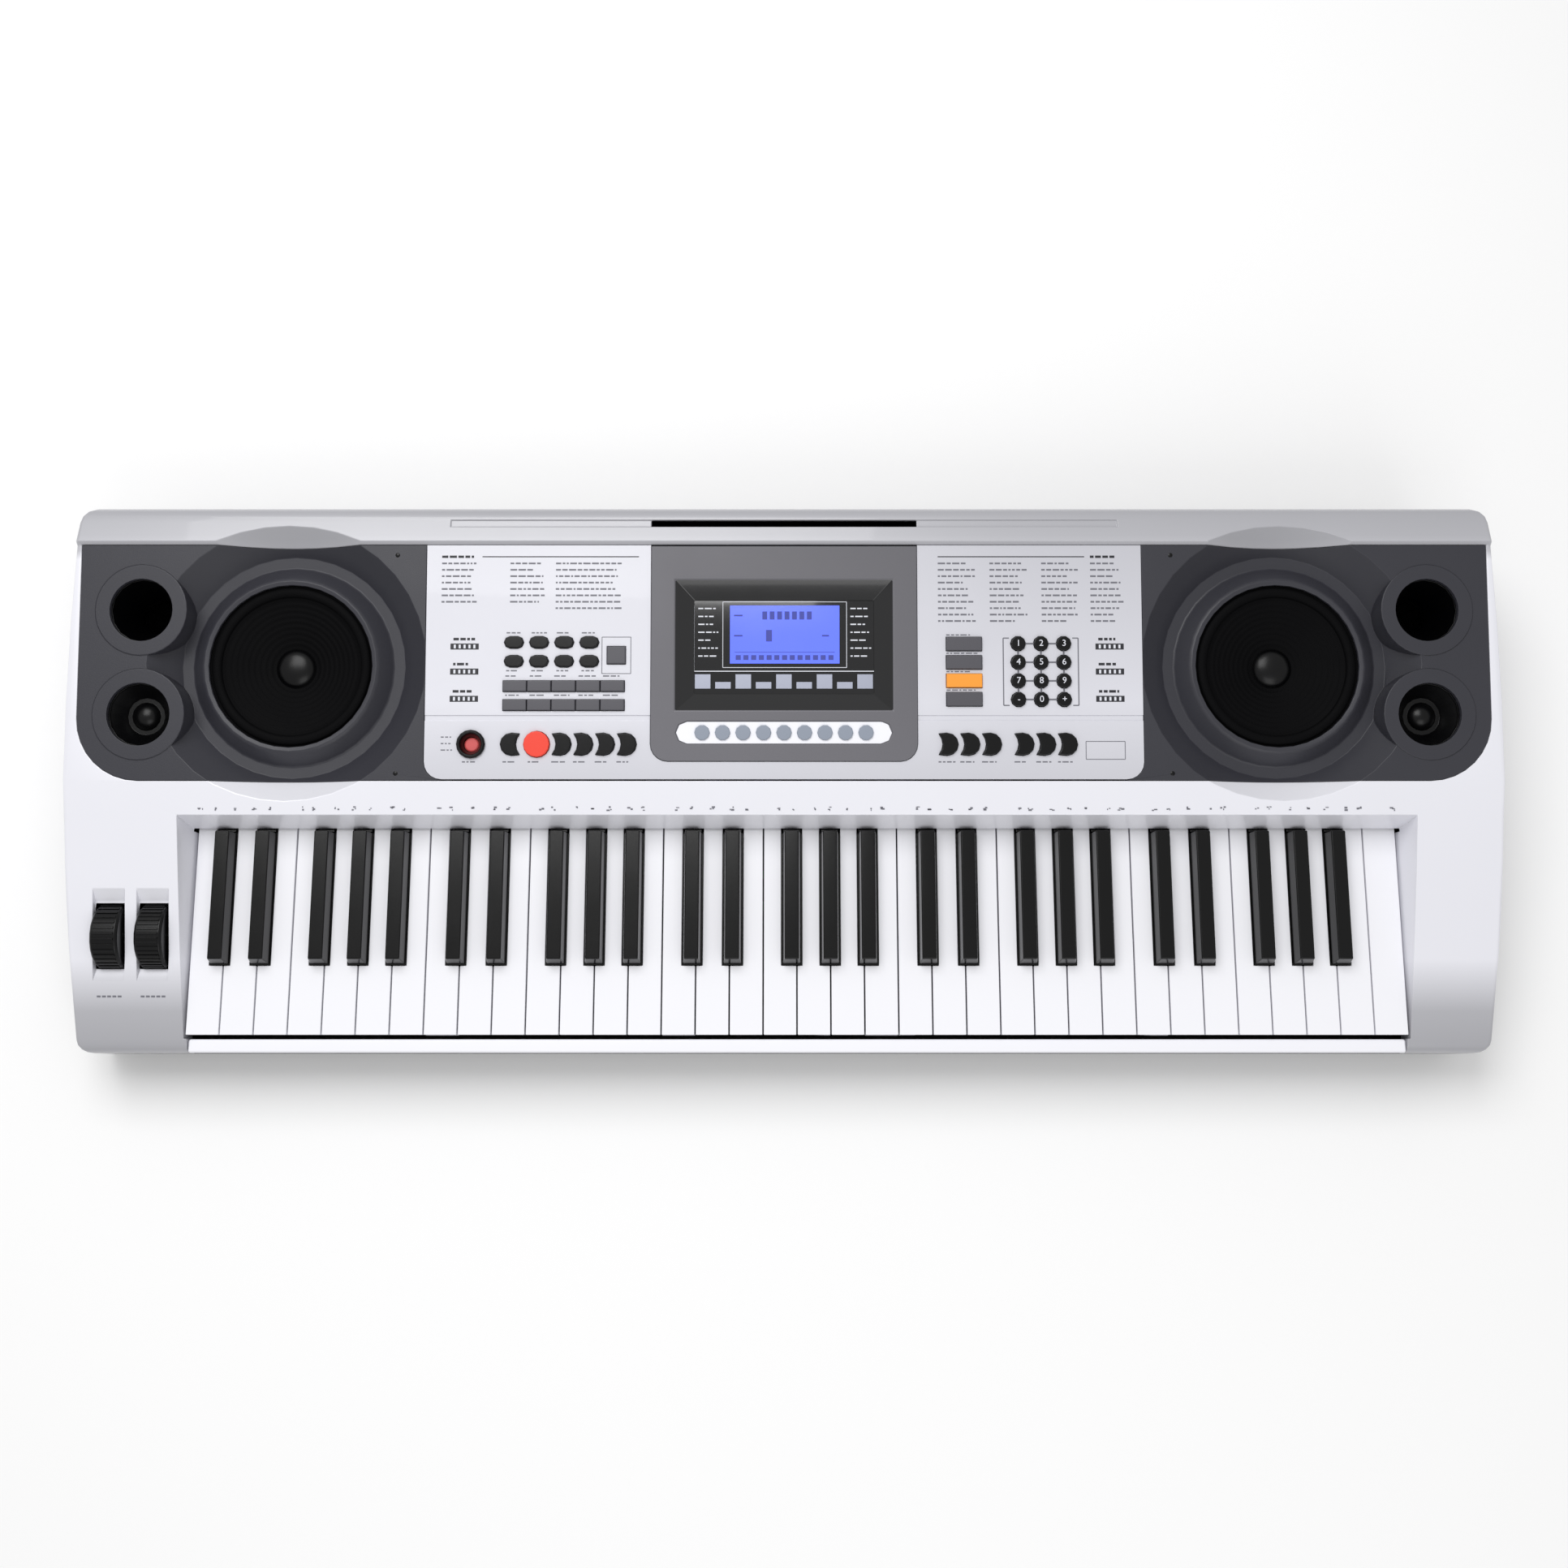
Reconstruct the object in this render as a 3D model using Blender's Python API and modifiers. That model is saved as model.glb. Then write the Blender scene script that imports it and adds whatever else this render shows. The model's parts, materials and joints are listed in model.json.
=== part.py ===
"""Portable keyboard with 61 keys, two speaker panels, a control panel and two wheels.

Metres, X to the player's right, Y to the rear, Z up. The origin is under the middle of the case,
on the surface that the feet stand on. Run it with blender --background --python part.py.
"""
import bpy
import bmesh
from math import cos, pi, radians, sin, sqrt, tan
from mathutils import Matrix, Vector

# Case
CASE_DEPTH = 0.377
HALF_WIDTH_FRONT = 0.4890
HALF_WIDTH_REAR = 0.4915
SIDE_BULGE = 0.0080
FRONT_CORNER = 0.0090
REAR_CORNER = 0.0120
WALL = 0.0025
TOP_EDGE = 0.0030
END_EDGE = 0.0080
PART_LINE_Z = 0.0400
FRONT_TOP_Z = 0.0575
CHEEK_CROWN = 0.0012
FALL_TOP_Y = -0.0270
FALL_TOP_Z = 0.0862
GAP = 0.0003

# Control and speaker panel plane
PANEL_FRONT_Y = -0.0035
PANEL_FRONT_Z = 0.0915
PANEL_TILT = radians(6.0)
PANEL_DEPTH = 0.1644
PANEL_HALF_WIDTH = 0.4890
PANEL_CORNER = 0.0430
STRIP_RISE = 0.0029
STRIP_CHAMFER = 0.0022
STRIP_FALL = 0.0024

# Lower case and feet
FOOT_HEIGHT = 0.0040
FOOT_RADIUS = 0.0090
FOOT_X = 0.4400
FOOT_FRONT_Y = -0.1600
FOOT_REAR_Y = 0.1550
BASE_INSET = 0.0080
BASE_RISE = 0.0100
FLOOR = 0.0025
BAY_HALF_WIDTH = 0.1000
BAY_FRONT_Y = 0.0550
BAY_REAR_Y = 0.1250
BAY_HEIGHT = 0.0320

# Keys
OCTAVE = 0.1645
OCTAVES = 5
NATURALS = 7
KEY_GAP = 0.0010
KEY_SHIFT = 0.0090
KEY_FRONT_Y = -0.1760
KEY_TOP_Z = 0.0580
KEY_THICKNESS = 0.0085
KEY_LIP_DROP = 0.0095
KEY_LIP = 0.0015
SHARP_CENTRES = (0.0209, 0.0491, 0.0904, 0.1172, 0.1437)
SHARP_SLOT = 0.0148
SHARP_WIDTH = 0.0130
SHARP_TOP_WIDTH = 0.0098
SHARP_FRONT_Y = -0.1275
SHARP_FRONT_SLOPE = 0.0030
SHARP_HEIGHT = 0.0115
SHARP_REAR_Y = -0.0350
SHARP_TAIL = 0.0126
PIVOT_Z = 0.0435
PIVOT_RADIUS = 0.0026
PIVOT_FIRST_Y = -0.0100
PIVOT_STEP = 0.0120

# Key well
WELL_SIDE_GAP = 0.0008
WELL_SIDE_DRAFT = 0.158
WELL_REAR_Y = -0.0335
WELL_REAR_DRAFT = 0.240
FALL_BOTTOM_Z = 0.0615
RAIL_REAR_Y = -0.1787
RAIL_TOP_Z = 0.0555
RAIL_LIP = 0.0021

# Chassis, contact board and strip
CHASSIS_FRONT_Y = -0.1680
CHASSIS_REAR_Y = 0.0200
CHASSIS_PLATE = 0.0025
STOP_Y = -0.1640
STOP_WIDTH = 0.0040
STOP_TOP_Z = 0.0395
SADDLE_WIDTH = 0.0080
BOARD_FRONT_Y = -0.0880
BOARD_REAR_Y = -0.0600
BOARD_UNDER_Z = 0.0400
BOARD_THICKNESS = 0.0016
STRIP_HEIGHT = 0.0021
STRIP_MARGIN = 0.0060

# Speakers
WOOFER_X = 0.3450
WOOFER_V = 0.0810
DISH_RADIUS = 0.0970
DISH_FLOOR_RADIUS = 0.0800
DISH_DEPTH = 0.0170
TROUGH_DEPTH = 0.0190
TROUGH_RADIUS = 0.0710
RING_RADIUS = 0.0610
RING_DEPTH = 0.0090
CONE_RADIUS = 0.0572
LIP_DEPTH = 0.0122
CAP_RADIUS = 0.0134
CAP_DEPTH = 0.0190
MAGNET_RADIUS = 0.0310
WOOFER_LENGTH = 0.0540
SIDE_X = 0.4465
PORT_V = 0.1187
TWEETER_V = 0.0459
TOWER_RADIUS = 0.0320
TOWER_RISE = 0.0008
TOWER_DEPTH = 0.0205
TOWER_WALL = 0.0025
MOUTH_RADIUS = 0.0218
FLANGE_RADIUS = 0.0270
PORT_END_RADIUS = 0.0120
PORT_LENGTH = 0.0300
DOME_RADIUS = 0.0100
TWEETER_LENGTH = 0.0260
PLATE = 0.0030

# Control panel, bezel and display
CONTROL_HALF_WIDTH = 0.2485
CONTROL_CORNER = 0.0120
CONTROL_MARGIN = 0.0008
GROOVE_V = 0.0433
GROOVE_WIDTH = 0.0038
GROOVE_DEPTH = 0.0008
BEZEL_HALF_WIDTH = 0.0923
BEZEL_FRONT_V = 0.0132
BEZEL_RISE = 0.0012
WINDOW_HALF_WIDTH = 0.0759
WINDOW_FRONT_V = 0.0481
WINDOW_REAR_V = 0.1401
WINDOW_DEPTH = 0.0090
WINDOW_SLOPE = 0.0134
WINDOW_WALL = 0.0020
LENS_LAP = 0.0030
LENS = 0.0020
LCD_HALF_WIDTH = 0.0450
LCD_FRONT_V = 0.0720
LCD_REAR_V = 0.1260
LCD_DEPTH = 0.0050
PILL_V = 0.0330
PILL_HALF_WIDTH = 0.0750
PILL_HALF_HEIGHT = 0.0080
PILL_DEPTH = 0.0008
PANEL_BOARD_H = -0.0060
PANEL_BOARD_MARGIN = 0.0080
BOSS_RADIUS = 0.0022
BOSS_INSET = 0.0070

# Buttons
BUTTON_CLEARANCE = 0.00035
CAP_HEIGHT = 0.0022
WEB = 0.0012
CAP_CHAMFER = 0.0004
WEB_MARGIN = 0.0012
OVAL_LENGTH = 0.0134
OVAL_WIDTH = 0.0081
OVAL_X = -0.18725
OVAL_V = 0.0828
OVAL_PITCH_X = 0.0174
OVAL_PITCH_V = 0.0132
BAR_X = -0.1863
BAR_V = 0.0522
BAR_PITCH_X = 0.0169
BAR_PITCH_V = 0.0132
BAR_LENGTH = 0.0164
BAR_WIDTH = 0.0075
ROCKER_X = -0.1162
ROCKER_V = 0.0870
ROCKER_LENGTH = 0.0122
ROCKER_WIDTH = 0.0128
LOWER_ROW_V = 0.0250
POWER_X = -0.2162
COLLAR_RADIUS = 0.0100
COLLAR_RISE = 0.0030
COLLAR_NECK = 0.0086
POWER_RADIUS = 0.0052
POWER_SINK = 0.0025
START_X = -0.1708
START_RADIUS = 0.0090
CRESCENT_RADIUS = 0.0077
CRESCENT_HORN = 0.0056
CRESCENT_BITE = 0.0028
CRESCENT_PITCH = 0.0150
INTRO_X = -0.1882
LEFT_CRESCENT_X = -0.1546
RIGHT_CRESCENT_X = 0.1126
SECOND_CRESCENT_X = 0.1650
DISPLAY_BUTTON_X = -0.0566
DISPLAY_BUTTON_PITCH = 0.01415
DISPLAY_BUTTON_RADIUS = 0.0054
FUNCTION_X = 0.1248
FUNCTION_V = 0.0563
FUNCTION_PITCH = 0.01285
FUNCTION_LENGTH = 0.0246
FUNCTION_WIDTH = 0.0095
KEYPAD_X = 0.1623
KEYPAD_V = 0.0561
KEYPAD_PITCH_X = 0.0158
KEYPAD_PITCH_V = 0.0130
KEYPAD_RADIUS = 0.0051

# Wheels
WHEEL_Y = -0.1080
WHEEL_Z = 0.0595
WHEEL_RADIUS = 0.0230
WHEEL_WIDTH = 0.0190
PITCH_WHEEL_X = -0.4658
MOD_WHEEL_X = -0.4355
AXLE_RADIUS = 0.0030
SLOT_WIDTH = 0.0220
SLOT_LENGTH = 0.0650
SLOT_FLOOR_LENGTH = 0.0470
SLOT_DEPTH = 0.0050
SLOT_WALL = 0.0018
EAR = 0.0025
EAR_DEPTH = 0.0120
EAR_CROWN = 0.0013

# Rear strip and rear wall
REST_SLOT_HALF_WIDTH = 0.0925
REST_SLOT_Y = 0.1755
REST_SLOT_WIDTH = 0.0050
REST_GROOVE_HALF_WIDTH = 0.2325
REST_GROOVE_DEPTH = 0.0010
SOCKET_WALL = 0.0020
SOCKET_DEPTH = 0.0250
SOCKET_TOP_Z = 0.1062
JACK_Z = 0.0620
INLET_X = 0.4000
PHONES_X = 0.3700
JACK_RADIUS = 0.0050
INLET_BORE = 0.0028
PHONES_BORE = 0.0032
JACK_BODY = 0.0140
JACK_LENGTH = 0.0240

# Main board
MAIN_BOARD_LEFT = 0.1600
MAIN_BOARD_RIGHT = 0.3000
MAIN_BOARD_FRONT = 0.0450
MAIN_BOARD_REAR = 0.1350
STANDOFF = 0.0045

# Roundness of curved faces, in sides of a full circle
DISH_SIDES = 36
WOOFER_SIDES = 28
SMALL_SIDES = 16
CAP_SIDES = 10
WHEEL_SIDES = 24
FLAT_ANGLE = radians(0.5)

FRONT_Y = -CASE_DEPTH / 2
REAR_Y = CASE_DEPTH / 2
NATURAL_PITCH = OCTAVE / NATURALS
KEY_FIELD = (OCTAVES * NATURALS + 1) * NATURAL_PITCH
KEY_LEFT = KEY_SHIFT - KEY_FIELD / 2
KEY_RIGHT = KEY_SHIFT + KEY_FIELD / 2
KEY_UNDER_Z = KEY_TOP_Z - KEY_THICKNESS
FLOOR_Z = FOOT_HEIGHT + FLOOR
PANEL_MATRIX = Matrix.Translation((0, PANEL_FRONT_Y, PANEL_FRONT_Z)) @ Matrix.Rotation(PANEL_TILT, 4, "X")
PANEL_REAR_Y = PANEL_FRONT_Y + PANEL_DEPTH * cos(PANEL_TILT)
PANEL_REAR_Z = PANEL_FRONT_Z + PANEL_DEPTH * sin(PANEL_TILT)
STRIP_FRONT_Y = PANEL_REAR_Y + STRIP_CHAMFER
STRIP_FRONT_Z = PANEL_REAR_Z + STRIP_RISE
STRIP_REAR_Z = STRIP_FRONT_Z - STRIP_FALL
WEB_TOP = -PLATE - GAP
WEB_UNDER = WEB_TOP - WEB


def new_collection(name):
    collection = bpy.data.collections.new(name)
    bpy.context.scene.collection.children.link(collection)
    return collection


def clear_scene():
    for obj in list(bpy.data.objects):
        bpy.data.objects.remove(obj, do_unlink=True)


clear_scene()
PARTS = new_collection("portable_keyboard")


def material(name, colour, roughness, metallic=0.0):
    mat = bpy.data.materials.get(name)
    if mat is None:
        mat = bpy.data.materials.new(name)
        mat.use_nodes = True
        shader = mat.node_tree.nodes["Principled BSDF"]
        shader.inputs["Base Color"].default_value = (*colour, 1.0)
        shader.inputs["Roughness"].default_value = roughness
        shader.inputs["Metallic"].default_value = metallic
    return mat


SILVER = material("silver_paint", (0.78, 0.78, 0.80), 0.35, 0.3)
WHITE = material("white_plastic", (0.88, 0.88, 0.88), 0.35)
CHARCOAL = material("charcoal_plastic", (0.07, 0.07, 0.08), 0.5)
GRAPHITE = material("graphite_plastic", (0.10, 0.10, 0.12), 0.45)
GREY = material("grey_plastic", (0.28, 0.28, 0.30), 0.4)
BLACK = material("black_plastic", (0.012, 0.012, 0.014), 0.35)
PAPER = material("black_paper_cone", (0.015, 0.015, 0.018), 0.8)
SMOKED = material("smoked_lens", (0.01, 0.012, 0.02), 0.05)
LIQUID = material("lcd_blue", (0.15, 0.22, 0.85), 0.3)
RED = material("red_plastic", (0.85, 0.06, 0.03), 0.4)
ORANGE = material("orange_plastic", (0.95, 0.42, 0.07), 0.4)
RUBBER = material("black_rubber", (0.03, 0.03, 0.03), 0.9)
BOARD = material("circuit_board", (0.04, 0.20, 0.08), 0.5)
NATURAL = material("ivory_white_plastic", (0.92, 0.92, 0.92), 0.25)
STEEL = material("steel", (0.6, 0.6, 0.6), 0.3, 1.0)


def mesh_object(name, bm):
    mesh = bpy.data.meshes.new(name)
    bm.to_mesh(mesh)
    bm.free()
    obj = bpy.data.objects.new(name, mesh)
    PARTS.objects.link(obj)
    return obj


def applied(obj):
    """Replaces an object's mesh by what its modifiers make of it."""
    bpy.context.view_layer.update()
    graph = bpy.context.evaluated_depsgraph_get()
    mesh = bpy.data.meshes.new_from_object(obj.evaluated_get(graph))
    obj.modifiers.clear()
    obj.data = mesh
    return obj


def boolean(obj, other, operation):
    mod = obj.modifiers.new(operation.lower(), "BOOLEAN")
    mod.operation = operation
    mod.solver = "EXACT"
    mod.object = other
    applied(obj)
    bpy.data.objects.remove(other, do_unlink=True)
    return obj


def cut(obj, *tools):
    for tool in tools:
        boolean(obj, tool, "DIFFERENCE")
    return obj


def keep(obj, tool):
    return boolean(obj, tool, "INTERSECT")


def fuse(name, pieces):
    """Joins overlapping pieces into one body."""
    base = pieces[0]
    if len(pieces) > 1:
        others = new_collection(name + "_pieces")
        for piece in pieces[1:]:
            others.objects.link(piece)
            PARTS.objects.unlink(piece)
        mod = base.modifiers.new("union", "BOOLEAN")
        mod.operation = "UNION"
        mod.solver = "EXACT"
        mod.operand_type = "COLLECTION"
        mod.collection = others
        applied(base)
        for piece in pieces[1:]:
            bpy.data.objects.remove(piece, do_unlink=True)
        bpy.data.collections.remove(others)
    base.name = name
    return base


def block(name, low, high):
    """A box between two corners."""
    low = Vector(low)
    high = Vector(high)
    bm = bmesh.new()
    place = Matrix.Translation((low + high) / 2) @ Matrix.Diagonal((*(high - low), 1.0))
    bmesh.ops.create_cube(bm, size=1.0, matrix=place)
    return mesh_object(name, bm)


def tapered_block(name, under, under_z, top, top_z):
    """A box whose under and top rectangles, each (x0, x1, y0, y1), differ."""
    bm = bmesh.new()
    bmesh.ops.create_cube(bm, size=1.0)
    for vert in bm.verts:
        x0, x1, y0, y1 = top if vert.co.z > 0 else under
        vert.co = (
            x1 if vert.co.x > 0 else x0,
            y1 if vert.co.y > 0 else y0,
            top_z if vert.co.z > 0 else under_z,
        )
    return mesh_object(name, bm)


def cylinder(name, radius, low, high, centre=(0.0, 0.0), sides=SMALL_SIDES, along="Z"):
    """A round bar along Z or X. The centre is its (x, y), or its (y, z) along X."""
    bm = bmesh.new()
    middle = (low + high) / 2
    if along == "Z":
        place = Matrix.Translation((*centre, middle))
    else:
        place = Matrix.Translation((middle, *centre)) @ Matrix.Rotation(pi / 2, 4, "Y")
    bmesh.ops.create_cone(bm, cap_ends=True, segments=sides, radius1=radius, radius2=radius,
                          depth=high - low, matrix=place)
    return mesh_object(name, bm)


def tidied(obj):
    """Welds doubled points, drops needless flat edges and turns the faces outwards."""
    bm = bmesh.new()
    bm.from_mesh(obj.data)
    bmesh.ops.remove_doubles(bm, verts=bm.verts, dist=1e-6)
    bmesh.ops.dissolve_limit(bm, angle_limit=FLAT_ANGLE, verts=bm.verts, edges=bm.edges)
    bmesh.ops.recalc_face_normals(bm, faces=bm.faces)
    bm.to_mesh(obj.data)
    bm.free()
    return obj


def joined(name, pieces):
    """One object that holds several bodies which don't touch, for cutting all at once."""
    bm = bmesh.new()
    for piece in pieces:
        bm.from_mesh(piece.data)
        bpy.data.objects.remove(piece, do_unlink=True)
    return mesh_object(name, bm)


def mirrored(obj, name):
    """A copy on the other side of the object's middle."""
    bm = bmesh.new()
    bm.from_mesh(obj.data)
    bmesh.ops.transform(bm, matrix=Matrix.Diagonal((-1, 1, 1, 1)), verts=bm.verts)
    bmesh.ops.reverse_faces(bm, faces=bm.faces)
    return mesh_object(name, bm)


def slab(name, outline, low, high, along="Z"):
    """A flat outline of given thickness. Along X, the outline's points are (y, z)."""
    curve = bpy.data.curves.new(name, "CURVE")
    curve.dimensions = "2D"
    curve.fill_mode = "BOTH"
    curve.extrude = (high - low) / 2
    spline = curve.splines.new("POLY")
    spline.points.add(len(outline) - 1)
    for point, (a, b) in zip(spline.points, outline):
        point.co = (a, b, 0.0, 1.0)
    spline.use_cyclic_u = True
    guide = bpy.data.objects.new(name, curve)
    PARTS.objects.link(guide)
    bpy.context.view_layer.update()
    graph = bpy.context.evaluated_depsgraph_get()
    mesh = bpy.data.meshes.new_from_object(guide.evaluated_get(graph))
    bpy.data.objects.remove(guide, do_unlink=True)
    obj = bpy.data.objects.new(name, mesh)
    PARTS.objects.link(obj)
    mesh.transform(Matrix.Translation((0, 0, (low + high) / 2)))
    if along == "X":
        mesh.transform(Matrix(((0, 0, 1, 0), (1, 0, 0, 0), (0, 1, 0, 0), (0, 0, 0, 1))))
    return tidied(obj)


def turned(name, profile, sides, centre=(0.0, 0.0), ring=False, along="Z"):
    """A profile of (radius, height) points turned about an axis. A ring's profile is a closed loop."""
    bm = bmesh.new()
    verts = [bm.verts.new((r, 0, h)) for r, h in profile]
    for first, second in zip(verts, verts[1:]):
        bm.edges.new((first, second))
    if ring:
        bm.edges.new((verts[-1], verts[0]))
    obj = mesh_object(name, bm)
    mod = obj.modifiers.new("turn", "SCREW")
    mod.steps = sides
    mod.render_steps = sides
    mod.use_merge_vertices = True
    mod.merge_threshold = 0.00001
    applied(obj)
    if along == "X":
        obj.data.transform(Matrix.Rotation(pi / 2, 4, "Y"))
    obj.data.transform(Matrix.Translation((*centre, 0)))
    return tidied(obj)


def arc(centre_x, centre_y, radius, start, end, steps):
    """Points on an arc, angles in degrees, both ends included."""
    angles = [radians(start + (end - start) * i / steps) for i in range(steps + 1)]
    return [(centre_x + radius * cos(a), centre_y + radius * sin(a)) for a in angles]


def rounded_rectangle(x0, x1, y0, y1, radius, steps=4):
    points = arc(x1 - radius, y1 - radius, radius, 0, 90, steps)
    points += arc(x0 + radius, y1 - radius, radius, 90, 180, steps)
    points += arc(x0 + radius, y0 + radius, radius, 180, 270, steps)
    points += arc(x1 - radius, y0 + radius, radius, 270, 360, steps)
    return points


def soften_top(obj, width=CAP_CHAMFER):
    """Chamfers the edges round the highest face."""
    bm = bmesh.new()
    bm.from_mesh(obj.data)
    top = max(vert.co.z for vert in bm.verts)
    edges = [e for e in bm.edges if all(abs(v.co.z - top) < 1e-6 for v in e.verts)]
    bmesh.ops.bevel(bm, geom=edges, offset=width, segments=1, affect="EDGES")
    bm.to_mesh(obj.data)
    bm.free()
    return obj


def smooth(obj):
    obj.data.shade_smooth()
    obj.data.set_sharp_from_angle(angle=radians(35))
    return obj


def finished(obj, mat, origin=(0.0, 0.0, 0.0), parent=None):
    """Gives a part its material, and moves its origin to a point of its own frame."""
    obj.data.name = obj.name
    obj.data.materials.clear()
    obj.data.materials.append(mat)
    obj.data.transform(Matrix.Translation(-Vector(origin)))
    obj.parent = parent
    obj.matrix_basis = Matrix.Translation(origin)
    return smooth(obj)


def on_panel(obj):
    """Puts a cutter, modelled flat, on the sloping panel plane."""
    obj.matrix_world = PANEL_MATRIX
    return obj


def grown(rectangle, margin):
    x0, x1, y0, y1 = rectangle
    return (x0 - margin, x1 + margin, y0 - margin, y1 + margin)


# The case's outline and profile


def half_width(y):
    share = (y - FRONT_Y) / CASE_DEPTH
    straight = HALF_WIDTH_FRONT + (HALF_WIDTH_REAR - HALF_WIDTH_FRONT) * share
    return straight + SIDE_BULGE * (1 - (2 * share - 1) ** 2)


def cheek_z(y):
    front = FRONT_Y + END_EDGE
    share = (y - front) / (FALL_TOP_Y - front)
    return FRONT_TOP_Z + (FALL_TOP_Z - FRONT_TOP_Z) * share + 4 * CHEEK_CROWN * share * (1 - share)


def between(y, start, end):
    """Height at y on the straight line between two (y, z) points."""
    return start[1] + (end[1] - start[1]) * (y - start[0]) / (end[0] - start[0])


def top_z(y, inset=0.0):
    """Height of the case's top at y, or of a wall's inner face an inset below it."""
    front = FRONT_Y + END_EDGE
    rear = REAR_Y - END_EDGE
    radius = END_EDGE - inset
    if y < front:
        return FRONT_TOP_Z - END_EDGE + sqrt(max(radius ** 2 - (front - y) ** 2, 0.0))
    if y > rear:
        return STRIP_REAR_Z - END_EDGE + sqrt(max(radius ** 2 - (y - rear) ** 2, 0.0))
    if y <= FALL_TOP_Y:
        return cheek_z(y) - inset
    corners = ((FALL_TOP_Y, FALL_TOP_Z), (PANEL_FRONT_Y, PANEL_FRONT_Z), (PANEL_REAR_Y, PANEL_REAR_Z),
               (STRIP_FRONT_Y, STRIP_FRONT_Z), (rear, STRIP_REAR_Z))
    for start, end in zip(corners, corners[1:]):
        if y <= end[0]:
            return between(y, start, end) - inset
    return STRIP_REAR_Z - inset


def stations(inset):
    """(y, half width) of the sections from the front of the case to its rear, corners included."""
    front, rear = FRONT_Y + inset, REAR_Y - inset
    front_radius, rear_radius = FRONT_CORNER - inset, REAR_CORNER - inset
    steps = 4
    rows = []
    for i in range(steps + 1):
        angle = pi / 2 * i / steps
        y = front + front_radius * (1 - cos(angle))
        rows.append((y, half_width(y) - inset - front_radius * (1 - sin(angle))))
    cheek = [FRONT_Y + END_EDGE + (FALL_TOP_Y - FRONT_Y - END_EDGE) * i / 5 for i in range(1, 6)]
    panel = [PANEL_FRONT_Y + (PANEL_REAR_Y - PANEL_FRONT_Y) * i / 3 for i in range(4)]
    rows += [(y, half_width(y) - inset) for y in cheek + panel + [STRIP_FRONT_Y]]
    for i in range(steps + 1):
        angle = pi / 2 * (1 - i / steps)
        y = rear - rear_radius * (1 - cos(angle))
        rows.append((y, half_width(y) - inset - rear_radius * (1 - sin(angle))))
    return rows


def case_loft(name, inset, low_z):
    """The solid under the case's top surface: sections across the case, joined from front to rear."""
    edge = max(TOP_EDGE - inset, 0.0008)
    slant = edge * (1 - sqrt(0.5))
    bm = bmesh.new()
    rings = []
    for y, w in stations(inset):
        z = top_z(y, inset)
        right = [(w, low_z), (w, z - edge), (w - slant, z - slant), (w - edge, z)]
        section = [(-x, h) for x, h in right] + right[::-1]
        rings.append([bm.verts.new((x, y, h)) for x, h in section])
    count = len(rings[0])
    for first, second in zip(rings, rings[1:]):
        for i in range(count):
            j = (i + 1) % count
            bm.faces.new((first[i], first[j], second[j], second[i]))
    bm.faces.new(rings[0])
    bm.faces.new(rings[-1])
    bmesh.ops.recalc_face_normals(bm, faces=bm.faces)
    return mesh_object(name, bm)


def panel_outline(margin):
    """Outline of the opening that the two baffles and the control panel fill."""
    half = PANEL_HALF_WIDTH + margin
    radius = PANEL_CORNER + margin
    front = -margin
    rear = PANEL_DEPTH + margin
    points = [(half, rear), (-half, rear)]
    points += arc(-half + radius, front + radius, radius, 180, 270, 8)
    points += arc(half - radius, front + radius, radius, 270, 360, 8)
    return points


def dish_cutter(name, side):
    """The space in front of a woofer: the dish, the trough and the hole that the cone shows in."""
    above = 0.0050
    flare = (DISH_RADIUS - DISH_FLOOR_RADIUS) / DISH_DEPTH
    profile = [
        (0, above), (DISH_RADIUS + flare * above, above), (DISH_FLOOR_RADIUS, -DISH_DEPTH),
        (DISH_FLOOR_RADIUS - 0.0015, -TROUGH_DEPTH + 0.0004), (TROUGH_RADIUS, -TROUGH_DEPTH),
        (TROUGH_RADIUS - 0.0015, -TROUGH_DEPTH + 0.0008), (RING_RADIUS + 0.0015, -RING_DEPTH - 0.0012),
        (RING_RADIUS - 0.0010, -RING_DEPTH), (CONE_RADIUS, -RING_DEPTH - 0.0006),
        (CONE_RADIUS, -WOOFER_LENGTH), (0, -WOOFER_LENGTH),
    ]
    return turned(name, profile, DISH_SIDES, (side * WOOFER_X, WOOFER_V))


def dish_body(name, side):
    """The solid that the dish is hollowed from, as deep as the moulding's back."""
    wall = PLATE * 0.85
    profile = [
        (0, -PLATE / 3), (DISH_RADIUS + wall, -PLATE / 3), (DISH_FLOOR_RADIUS + wall, -DISH_DEPTH),
        (DISH_FLOOR_RADIUS, -TROUGH_DEPTH - wall), (TROUGH_RADIUS - 0.0010, -TROUGH_DEPTH - wall),
        (TROUGH_RADIUS - 0.0035, -TROUGH_DEPTH - 0.0014), (RING_RADIUS - 0.0005, -LIP_DEPTH), (0, -LIP_DEPTH),
    ]
    return turned(name, profile, DISH_SIDES, (side * WOOFER_X, WOOFER_V))


def dish_rim(name, side):
    """The solid under the case's skin that the ends of a dish are hollowed from."""
    flare = (DISH_RADIUS - DISH_FLOOR_RADIUS) / DISH_DEPTH
    rise = 0.0040
    wall = WALL * 1.3
    profile = [
        (0, rise), (DISH_RADIUS + wall + flare * rise, rise),
        (DISH_FLOOR_RADIUS + wall, -DISH_DEPTH - 0.0005), (0, -DISH_DEPTH - 0.0005),
    ]
    rim = turned(name, profile, DISH_SIDES, (side * WOOFER_X, WOOFER_V))
    rim.data.transform(PANEL_MATRIX)
    return keep(rim, case_loft("skin", WALL / 3, PART_LINE_Z))


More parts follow.
